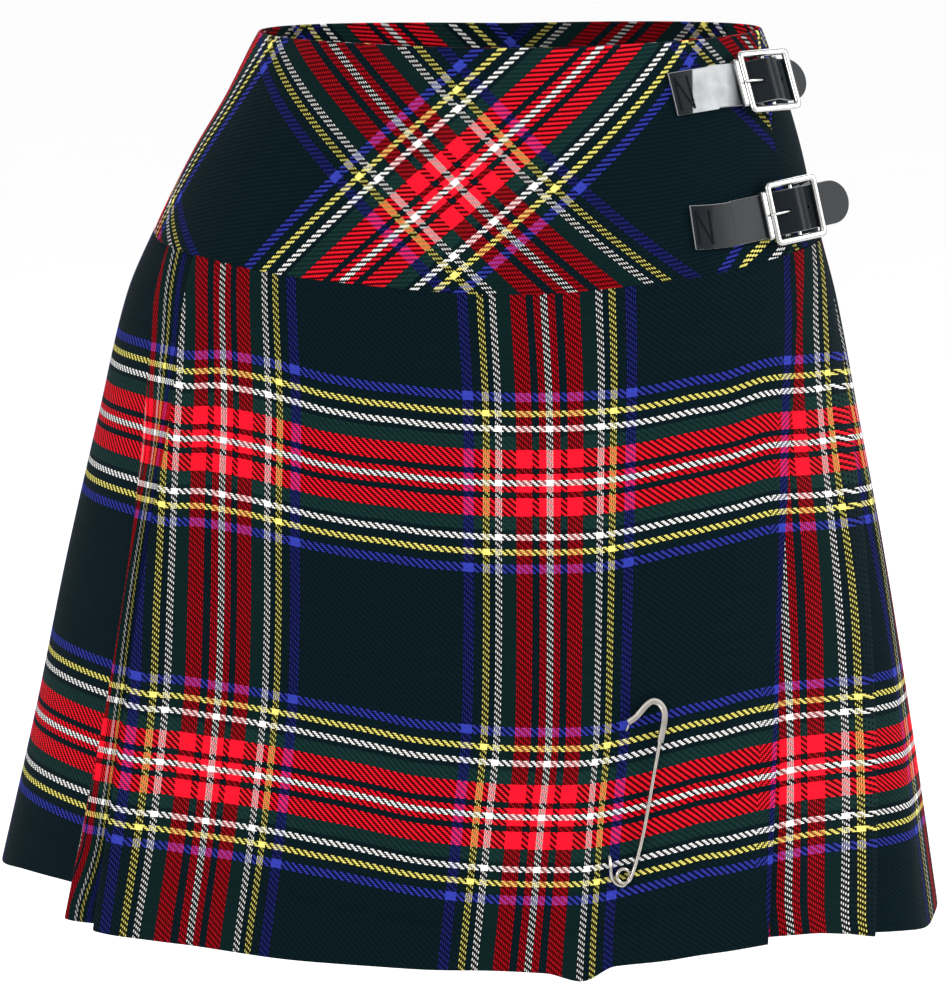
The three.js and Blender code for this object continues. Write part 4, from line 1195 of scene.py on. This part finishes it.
def round_slab(name, grid, out, thickness, edge_radius, material, edge_material):
    """A slab whose sides, of a material of their own, bulge round between its two faces."""
    rows, columns = grid.shape[:2]
    top = grid + out * (thickness / 2)
    low = grid - out * (thickness / 2)
    loop = [(0, j) for j in range(columns)] + [(i, columns - 1) for i in range(1, rows)]
    loop += [(rows - 1, j) for j in range(columns - 2, -1, -1)] + [(i, 0) for i in range(rows - 2, 0, -1)]
    rim = np.array(loop)
    centre = grid[rim[:, 0], rim[:, 1]]
    rim_out = out[rim[:, 0], rim[:, 1]]
    way = np.roll(centre, -1, 0) - np.roll(centre, 1, 0)
    side = np.cross(way, rim_out)
    side /= np.maximum(np.linalg.norm(side, axis=1, keepdims=True), 1e-9)
    points = [top.reshape(-1, 3), low.reshape(-1, 3)]
    bands = []
    for turn in BULGE_TURNS:
        bulge = edge_radius * math.cos(turn * math.pi / 2)
        bands.append(centre + rim_out * (thickness / 2 * turn) + side * bulge)
    points += bands
    count = rows * columns
    ids = np.arange(count).reshape(rows, columns)
    faces = []
    for flip, base in ((False, 0), (True, count)):
        a, b, c, d = ids[:-1, :-1] + base, ids[1:, :-1] + base, ids[1:, 1:] + base, ids[:-1, 1:] + base
        order = (a, d, c, b) if flip else (a, b, c, d)
        faces.append(np.stack(order, -1).reshape(-1, 4))
    flat_faces = sum(len(f) for f in faces)
    rings = [ids[rim[:, 0], rim[:, 1]]]
    for i in range(len(bands)):
        rings.append(2 * count + i * len(rim) + np.arange(len(rim)))
    rings.append(ids[rim[:, 0], rim[:, 1]] + count)
    for upper, lower in zip(rings[:-1], rings[1:]):
        faces.append(np.stack([upper, np.roll(upper, -1), np.roll(lower, -1), lower], -1))
    faces = np.concatenate(faces)
    piece = as_mesh_object(name, np.concatenate(points), faces.tolist(), material, 50)
    piece.data.materials.append(edge_material)
    index = np.zeros(len(faces), int)
    index[flat_faces + len(rim):-len(rim)] = 1
    piece.data.polygons.foreach_set("material_index", index.tolist())
    mend_faces(piece.data)
    return piece


def mend_faces(mesh):
    """Turns every face of a closed mesh outwards."""
    work = bmesh.new()
    work.from_mesh(mesh)
    bmesh.ops.remove_doubles(work, verts=work.verts, dist=1e-7)
    bmesh.ops.recalc_face_normals(work, faces=work.faces)
    work.to_mesh(mesh)
    work.free()


def cut_out(piece, tool):
    """Cuts the tool's shape out of the piece."""
    cutter = piece.modifiers.new("cut", "BOOLEAN")
    cutter.operation = "DIFFERENCE"
    cutter.solver = "EXACT"
    cutter.object = tool
    depsgraph = bpy.context.evaluated_depsgraph_get()
    mesh = bpy.data.meshes.new_from_object(piece.evaluated_get(depsgraph))
    piece.modifiers.remove(cutter)
    piece.data = mesh
    bpy.data.objects.remove(tool)


def faces_between(count, around, closed=False):
    """Faces from each ring of points to the next, and from the last to the first if it is closed."""
    faces = []
    for i in range(count if closed else count - 1):
        k = (i + 1) % count
        for j in range(around):
            n = (j + 1) % around
            faces.append([i * around + j, i * around + n, k * around + n, k * around + j])
    return faces


TUBE_GUIDE = [0.13, 0.29, 0.95]
DOME_TURNS = (0.5, 1.0, 1.35)


def tube(name, path, radii, material, sides=16):
    """A round rod along a path, with dome ends."""
    path = np.asarray(path, float)
    radii = np.broadcast_to(np.asarray(radii, float), (len(path),)).copy()
    ways = np.gradient(path, axis=0)
    ways /= np.linalg.norm(ways, axis=1, keepdims=True)
    normal = unit(np.cross(ways[0], TUBE_GUIDE))
    rings = []
    ends = []
    for at, way, radius in zip(path, ways, radii):
        normal = unit(normal - way * (normal @ way))
        other = np.cross(way, normal)
        turn = np.linspace(0, 2 * math.pi, sides, endpoint=False)
        ring = np.cos(turn)[:, None] * normal + np.sin(turn)[:, None] * other
        rings.append(at + ring * radius)
        ends.append((at, way, radius, ring))
    rings = dome(ends[0], -1)[::-1] + rings + dome(ends[-1], 1)
    count = len(rings)
    faces = faces_between(count, sides)
    faces.append(list(range(sides))[::-1])
    faces.append([(count - 1) * sides + j for j in range(sides)])
    piece = as_mesh_object(name, np.concatenate(rings), faces, material, 50)
    mend_faces(piece.data)
    return piece


def dome(end, side):
    at, way, radius, ring = end
    return [at + way * side * radius * math.sin(t) + ring * radius * math.cos(t) for t in DOME_TURNS]


def rounded_rectangle(half_width, half_height, radius, steps=6):
    """Points round a rectangle with round corners, the same count for each corner."""
    points = []
    for corner, (sx, sy) in enumerate(((1, 1), (-1, 1), (-1, -1), (1, -1))):
        for i in range(steps + 1):
            turn = (corner + i / steps) * math.pi / 2
            points.append((sx * (half_width - radius) + radius * math.cos(turn),
                           sy * (half_height - radius) + radius * math.sin(turn)))
    return np.array(points)


def ring_piece(name, outline, opening, profile, to_place, material):
    """A closed band between an outline and its opening; the profile gives (share across, height) round it."""
    rings = []
    for share, height in profile:
        flat = mix(outline, opening, share)
        rings.append(to_place(np.column_stack([flat, np.full(len(flat), height)])))
    faces = faces_between(len(profile), len(outline), closed=True)
    piece = as_mesh_object(name, np.concatenate(rings), faces, material, 35)
    mend_faces(piece.data)
    return piece


def merged(name, pieces):
    """One object of several, with their materials."""
    target = pieces[0]
    with bpy.context.temp_override(active_object=target, object=target, selected_editable_objects=pieces,
                                   selected_objects=pieces):
        bpy.ops.object.join()
    target.name = name
    target.data.name = name
    return target


def finish_hard(piece, slot_name, *nodes):
    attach(piece, "root")
    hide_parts(*nodes)


# A bar's section as shares from its outer edge to its inner edge, and heights as shares of its depth
FRAME_SECTION = [(0.0, -0.3), (0.0, 0.12), (0.10, 0.36), (0.28, 0.49), (0.5, 0.5), (0.72, 0.49), (0.90, 0.36),
                 (1.0, 0.12), (1.0, -0.3), (0.88, -0.5), (0.12, -0.5)]

# The prong's eye: shares across its wall, and places along the bar as shares of its half width
EYE_SECTION = [(0.2, -1), (0.0, -0.6), (0.0, 0.6), (0.2, 1), (0.85, 1), (1.0, 0.8), (1.0, -0.8), (0.85, -1)]


def make_frame(run):
    outline = rounded_rectangle(FRAME_SIZE / 2, FRAME_SIZE / 2, FRAME_CORNER)
    inner = FRAME_SIZE / 2 - FRAME_BAR
    opening = rounded_rectangle(inner, inner, OPENING_CORNER)
    section = [(share, height * FRAME_DEPTH) for share, height in FRAME_SECTION]
    name = "buckle_frame_" + run.strap["name"]
    square = ring_piece(name + "_metal", outline, opening, section, run.on_buckle, STEEL)
    reach = inner + FRAME_BAR / 2
    across = np.linspace(-reach, reach, BAR_STEPS)
    path = np.column_stack([0 * across, across, np.full(BAR_STEPS, BAR_DROP)])
    bar = tube(name + "_bar", run.on_buckle(path), CENTRE_BAR_RADIUS, STEEL)
    finish_hard(merged(name + "_metal", [square, bar]), "steel", name)


def make_keeper(run):
    low = -FRAME_LEVEL + STRAP_SEAT - RUNNING_GAP - KEEPER_WALL
    high = -FRAME_LEVEL + STRAP_SEAT + STRAP_THICKNESS + RUNNING_GAP + KEEPER_CROWN
    middle = (low + high) / 2
    outline = rounded_rectangle(KEEPER_HEIGHT / 2, (high - low) / 2, KEEPER_CORNER)
    floor = low + KEEPER_WALL - middle
    roof = floor + STRAP_THICKNESS + 2 * RUNNING_GAP
    opening = rounded_rectangle(STRAP_WIDTH / 2 + RUNNING_GAP, (roof - floor) / 2, KEEPER_OPENING_CORNER)
    opening[:, 1] += (roof + floor) / 2
    half = KEEPER_WIDTH / 2
    edge = [(0.35, half), (0.1, half - 0.25), (0.0, half - 0.8), (0.0, 0.55), (0.16, 0.2)]
    section = [(share, -at) for share, at in edge] + edge[::-1] + [(1.0, half), (1.0, -half)]

    def upright(points):
        turned = np.column_stack([points[:, 2] + KEEPER_AT, points[:, 0], points[:, 1] + middle])
        return run.on_buckle(turned)

    name = "buckle_keeper_" + run.strap["name"]
    finish_hard(ring_piece(name + "_metal", outline, opening, section, upright, STEEL), "steel", name)


def circle(radius, steps=28):
    turn = np.linspace(0, 2 * math.pi, steps, endpoint=False)
    return np.column_stack([radius * np.cos(turn), radius * np.sin(turn)])


def prong_path(run, steps):
    u = np.linspace(PRONG["along"][0], PRONG["along"][-1], steps)
    return run.on_buckle(np.column_stack([u, 0 * u, curve(PRONG["along"], PRONG["rise"], u)]))


def make_prong(run):
    radii = np.full(PRONG_STEPS, PRONG_RADIUS)
    radii[-PRONG_POINT_STEPS:] = np.linspace(PRONG_RADIUS, PRONG_RADIUS * PRONG_POINT, PRONG_POINT_STEPS)
    name = "buckle_prong_" + run.strap["name"]
    rod = tube(name + "_metal", prong_path(run, PRONG_STEPS), radii, STEEL)
    outer = circle(CENTRE_BAR_RADIUS + EYE_WALL)
    inner = circle(CENTRE_BAR_RADIUS + RUNNING_GAP)
    section = [(share, at * EYE_WIDTH / 2) for share, at in EYE_SECTION]

    def upright(points):
        return run.on_buckle(np.column_stack([points[:, 0], points[:, 2], points[:, 1] + BAR_DROP]))

    eye = ring_piece(name + "_eye", outer, inner, section, upright, STEEL)
    finish_hard(merged(name + "_metal", [rod, eye]), "steel", name)


def strap_tools(run):
    """The prong's way through the strap, and the spare hole, as cutting shapes."""
    slot = tube("slot_tool", prong_path(run, HOLE_STEPS), HOLE_RADIUS, THREAD)
    spare_path = [(SPARE_HOLE_AT, 0, height) for height in (-HOLE_REACH, 0, HOLE_REACH)]
    spare = tube("hole_tool", run.on_buckle(spare_path), HOLE_RADIUS, THREAD)
    return [slot, spare]


def stitch_line(run, ends, angle_per_mm):
    """Short raised stitches between two places on the strap's sewn end, given as (along, across)."""
    made = []
    (a0, b0), (a1, b1) = ends
    for i in range(STITCHES):
        ts = np.linspace(i + STITCH_SHARE[0], i + STITCH_SHARE[1], STITCH_STEPS) / STITCHES
        angles = run.strap["start"] + mix(a0, a1, ts) * angle_per_mm
        z = np.array([run.height_at(a) for a in angles]) + mix(b0, b1, ts) * run.v[2]
        arch = np.sin(np.linspace(0.05, 0.95, STITCH_STEPS) * math.pi) * STITCH_ARCH
        points = skin(angles, z, STRAP_SEAT + STRAP_THICKNESS + arch)
        made.append(tube("stitch", points, STITCH_RADIUS, THREAD, 8))
    return made


def make_strap(run):
    grid, out = strap_grid(run)
    name = "strap_" + run.strap["name"]
    start = run.strap["start"]
    z = run.strap["z"]
    # The painted highlight runs from just past the stitches to the keeper
    sewn = (STITCH_BOX + PAINTED_SHEEN_GAP) / arc_per_degree(start, z)
    left = skin(start + sewn, z, 0.0)[0]
    right = run.place(run.to_buckle + KEEPER_AT, 0, 0)[0]
    leather = leather_material(name + "_finish", (run.strap["painted_sheen"], left * MM, right * MM))
    piece = round_slab(name + "_leather", grid, out, STRAP_THICKNESS, STRAP_EDGE, leather, RAW_LEATHER)
    for tool in strap_tools(run):
        cut_out(piece, tool)
    per_mm = 1 / arc_per_degree(start + 1, z)
    half = STRAP_WIDTH / 2 - STITCH_MARGIN
    low_left = (STITCH_MARGIN, -half)
    high_left = (STITCH_MARGIN, half)
    low_right = (STITCH_BOX, -half)
    high_right = (STITCH_BOX, half)
    stitches = []
    for ends in ((high_left, low_left), (high_left, low_right), (high_right, low_right)):
        stitches += stitch_line(run, ends, per_mm)
    sewing = merged(name + "_stitches", stitches)
    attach(sewing, "root")
    finish_hard(piece, "leather", name)


def make_tab(run):
    turn_radius = CENTRE_BAR_RADIUS + RUNNING_GAP + TAB_CLOTH / 2
    seat = STRAP_SEAT + TAB_CLOTH / 2
    lines = []
    corners = range(len(TAB_ANGLES))
    angles = curve(corners, TAB_ANGLES, np.linspace(0, corners[-1], TAB_YOKE_STEPS))
    turns = np.linspace(0, math.pi, TAB_LOOP_STEPS)[:, None]
    for side in np.linspace(-1, 1, TAB_LINES):
        centre = run.place(run.to_buckle, side * TAB_WIDTH / 2, CENTRE_BAR_LEVEL)
        on_yoke = skin(angles, centre[2] + 0 * angles, seat + 0 * angles)
        lift = on_yoke[-1]
        along = unit((centre - lift) * [1, 1, 0])
        across = np.array([-along[1], along[0], 0])
        loop = centre + across * turn_radius * np.cos(turns) + along * turn_radius * np.sin(turns)
        over = lift - across * (TAB_CLOTH + STRAP_SEAT)
        back = [mix(loop[-1], over, t) for t in (0.15, 0.35, 0.55, 0.8)]
        way_on = [mix(lift, loop[0], t) for t in (0.25, 0.5, 0.75)]
        lines.append(np.concatenate([on_yoke, way_on, loop, back]))
    grid = np.array(lines)
    name = "buckle_tab_" + run.strap["name"]
    piece = shell(name + "_leather", grid[:, ::-1], TAB_CLOTH, LEATHER)
    mend_faces(piece.data)
    slot_radius = turn_radius + TAB_CLOTH
    path = [(0, at * TAB_SLOT / 2, BAR_DROP) for at in (-1, 0, 1)]
    tool = tube("tab_tool", run.on_buckle(path), slot_radius * TAB_SLOT_SHARE, LEATHER, 24)
    cut_out(piece, tool)
    finish_hard(piece, "leather", name)


def make_straps():
    for strap in STRAPS:
        run = StrapRun(strap)
        make_strap(run)
        make_frame(run)
        make_keeper(run)
        make_prong(run)
        make_tab(run)


# Kilt pin, in the plane of the apron: p runs along it from the coil to the clasp, q across it to the
# viewer's left, and r out of the cloth
PIN_COIL = {"angle": 17.2, "z": -408.5}
PIN_CLASP = {"angle": 24, "z": -342}
PIN_WIRE = 0.95
PIN_STAND = 3.4
COIL_RADIUS = 3.5
COIL_DROP = 2.1
COIL_STEPS = 30
FRONT_ARM = [(71, 0), (53.3, -1.4), (36, -3), (19.7, -4.1), (6, -4.1)]
COIL_SWEEP = [(-4.8, -1.5), (-4.7, 2.5), (-1.9, 5.7), (2.4, 7.4)]
BACK_ARM = [
    (6.3, 8.5, -0.2), (9.6, 9.2, -2.7), (14.5, 10, -3.3), (42, 13.2, -3.3), (66.2, 16.2, -3.4),
    (70.4, 16.8, -2.3), (72.4, 17.1, -0.3), (74.7, 17.5, 1.2),
]
WIRE_SPAN_STEPS = 6
WIRE_SIDES = 14
WIRE_POINT_STEPS = 12
WIRE_POINT = 0.3
CLASP_WIDTH = 3.2
CLASP_DEPTH = 2.3
CLASP_SPAN_STEPS = 8
CLASP = [
    (69.6, -0.2), (79.8, 0.5), (85.4, 2), (88.6, 5.6), (88.8, 9), (86.4, 11.6), (82.2, 13.9), (78.9, 15.7),
    (75.3, 18.9),
]

# The clasp's section: shares of its half width across, and of its depth out of the cloth
CLASP_SECTION = [
    (-1, 0.1), (-0.97, 0.38), (-0.78, 0.5), (-0.45, 0.42), (0, 0.34), (0.45, 0.42), (0.78, 0.5),
    (0.97, 0.38), (1, 0.1), (0.95, -0.5), (-0.95, -0.5),
]


def spline(points, per_span):
    """A centripetal Catmull-Rom curve through the points."""
    points = np.asarray(points, float)
    ends = [2 * points[0] - points[1], *points, 2 * points[-1] - points[-2]]
    out = []
    for p0, p1, p2, p3 in zip(ends, ends[1:], ends[2:], ends[3:]):
        k1 = np.linalg.norm(p1 - p0) ** 0.5
        k2 = k1 + np.linalg.norm(p2 - p1) ** 0.5
        k3 = k2 + np.linalg.norm(p3 - p2) ** 0.5
        for t in np.linspace(k1, k2, per_span, endpoint=False):
            a1 = mix(p0, p1, t / k1)
            a2 = mix(p1, p2, (t - k1) / (k2 - k1))
            a3 = mix(p2, p3, (t - k2) / (k3 - k2))
            b1 = mix(a1, a2, t / k2)
            b2 = mix(a2, a3, (t - k1) / (k3 - k1))
            out.append(mix(b1, b2, (t - k1) / (k2 - k1)))
    out.append(points[-1])
    return np.array(out)


def pin_place():
    coil = skin(PIN_COIL["angle"], PIN_COIL["z"], 0.0)
    clasp = skin(PIN_CLASP["angle"], PIN_CLASP["z"], 0.0)
    along = unit(clasp - coil)
    angle = mix(PIN_COIL["angle"], PIN_CLASP["angle"], 0.5)
    level = surface(angle, mix(PIN_COIL["z"], PIN_CLASP["z"], 0.5))[1]
    left = unit(np.cross(level, along))
    out = unit(np.cross(along, left))

    def place(p, q, r):
        p, q, r = (np.asarray(x, float)[..., None] for x in (p, q, r))
        return coil + along * p + left * q + out * r
    return place


def make_pin():
    place = pin_place()
    front = [place(p, q, PIN_STAND) for p, q in FRONT_ARM]
    coil = []
    for i in range(COIL_STEPS + 1):
        share = i / COIL_STEPS
        t = share * 2 * math.pi
        height = PIN_STAND - COIL_DROP * share
        coil.append(place(-COIL_RADIUS * math.sin(t), -COIL_RADIUS * math.cos(t), height))
    sweep = [place(p, q, PIN_STAND - COIL_DROP) for p, q in COIL_SWEEP]
    back = [place(*row) for row in BACK_ARM]
    path = spline(front + coil + sweep + back, WIRE_SPAN_STEPS)
    radii = np.full(len(path), PIN_WIRE)
    radii[-WIRE_POINT_STEPS:] = np.linspace(PIN_WIRE, WIRE_POINT, WIRE_POINT_STEPS)
    wire = tube("kilt_pin_wire", path, radii, PIN_STEEL, WIRE_SIDES)

    middle = spline([(p, q, 0.0) for p, q in CLASP], CLASP_SPAN_STEPS)
    way = np.gradient(middle, axis=0)
    way /= np.linalg.norm(way, axis=1, keepdims=True)
    rings = []
    for (p, q, _), (dp, dq, _) in zip(middle, way):
        ring = []
        for side, height in CLASP_SECTION:
            reach = side * CLASP_WIDTH / 2
            ring.append(place(p - dq * reach, q + dp * reach, PIN_STAND + height * CLASP_DEPTH))
        rings.append(ring)
    rings = np.array(rings)
    count = len(CLASP_SECTION)
    faces = faces_between(len(rings), count)
    faces.append(list(range(count)))
    faces.append([(len(rings) - 1) * count + j for j in range(count)][::-1])
    clasp = as_mesh_object("kilt_pin_clasp", rings.reshape(-1, 3), faces, PIN_STEEL, 35)
    mend_faces(clasp.data)
    finish_hard(merged("kilt_pin_metal", [wire, clasp]), "steel", "kilt_pin")


# Camera, floor and light
CAMERA_AT = (-19.5, -1800.0, 100.0)
CAMERA_PITCH = 10.9
FOCAL_PIXELS = 3352.0
PHOTO_WIDTH = 946.0
SENSOR = 36.0


def make_camera():
    data = bpy.data.cameras.new("camera")
    data.sensor_fit = "HORIZONTAL"
    data.sensor_width = SENSOR
    data.lens = FOCAL_PIXELS / PHOTO_WIDTH * SENSOR
    camera = bpy.data.objects.new("camera", data)
    camera.location = Vector(CAMERA_AT) * MM
    camera.rotation_euler = (math.radians(90 - CAMERA_PITCH), 0, 0)
    bpy.context.scene.collection.objects.link(camera)
    bpy.context.scene.camera = camera


def pale_material():
    shader = Shader("pale_floor")
    mottle = shader.noise(scale=3.0, detail=2.0)
    colour = shader.blend(mottle, (0.97, 0.97, 0.97, 1), (0.985, 0.985, 0.985, 1))
    shader.set(Base_Color=colour, Roughness=0.9, Specular_IOR_Level=0.1)
    return shader.material


FLOOR_LEVEL = -700.0
FLOOR_REACH = 40000.0


def make_floor():
    square = [(-1, -1), (1, -1), (1, 1), (-1, 1)]
    corners = [(x * FLOOR_REACH, y * FLOOR_REACH, FLOOR_LEVEL) for x, y in square]
    floor = as_mesh_object("floor", corners, [[0, 1, 2, 3]], pale_material())
    floor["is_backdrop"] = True


# Lamps in metres and watts, all turned to one point
LIGHT_AIM = (0.0, 0.0, -0.22)
LIGHTS = [
    {"name": "key", "at": (-1.1, -1.9, 0.9), "size": (1.2, 1.2), "power": 30.0},
    {"name": "side", "at": (1.7, -0.5, 0.55), "size": (0.7, 1.0), "power": 22.0},
    {"name": "back", "at": (0.2, 2.0, 1.3), "size": (1.6, 1.0), "power": 20.0},
]


def make_light(lamp):
    data = bpy.data.lights.new(lamp["name"], "AREA")
    data.shape = "RECTANGLE"
    data.size, data.size_y = lamp["size"]
    data.energy = lamp["power"]
    light = bpy.data.objects.new(lamp["name"], data)
    light.location = Vector(lamp["at"])
    light.rotation_euler = (Vector(LIGHT_AIM) - Vector(lamp["at"])).to_track_quat("-Z", "Y").to_euler()
    bpy.context.scene.collection.objects.link(light)


def make_lights():
    world = bpy.data.worlds.new("studio")
    world.use_nodes = True
    background = world.node_tree.nodes["Background"]
    background.inputs["Color"].default_value = (1.0, 1.0, 1.0, 1.0)
    background.inputs["Strength"].default_value = 1.0
    bpy.context.scene.world = world
    for lamp in LIGHTS:
        make_light(lamp)
    view = bpy.context.scene.view_settings
    view.view_transform = "Standard"
    view.exposure = 0.0


make_camera()
make_floor()
make_lights()
make_skirt()
make_yokes()
make_straps()
make_pin()

corners = {"cad": cad_box, "visual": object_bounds()}
{key: [[float(x) for x in corner] for corner in box] for key, box in corners.items()}
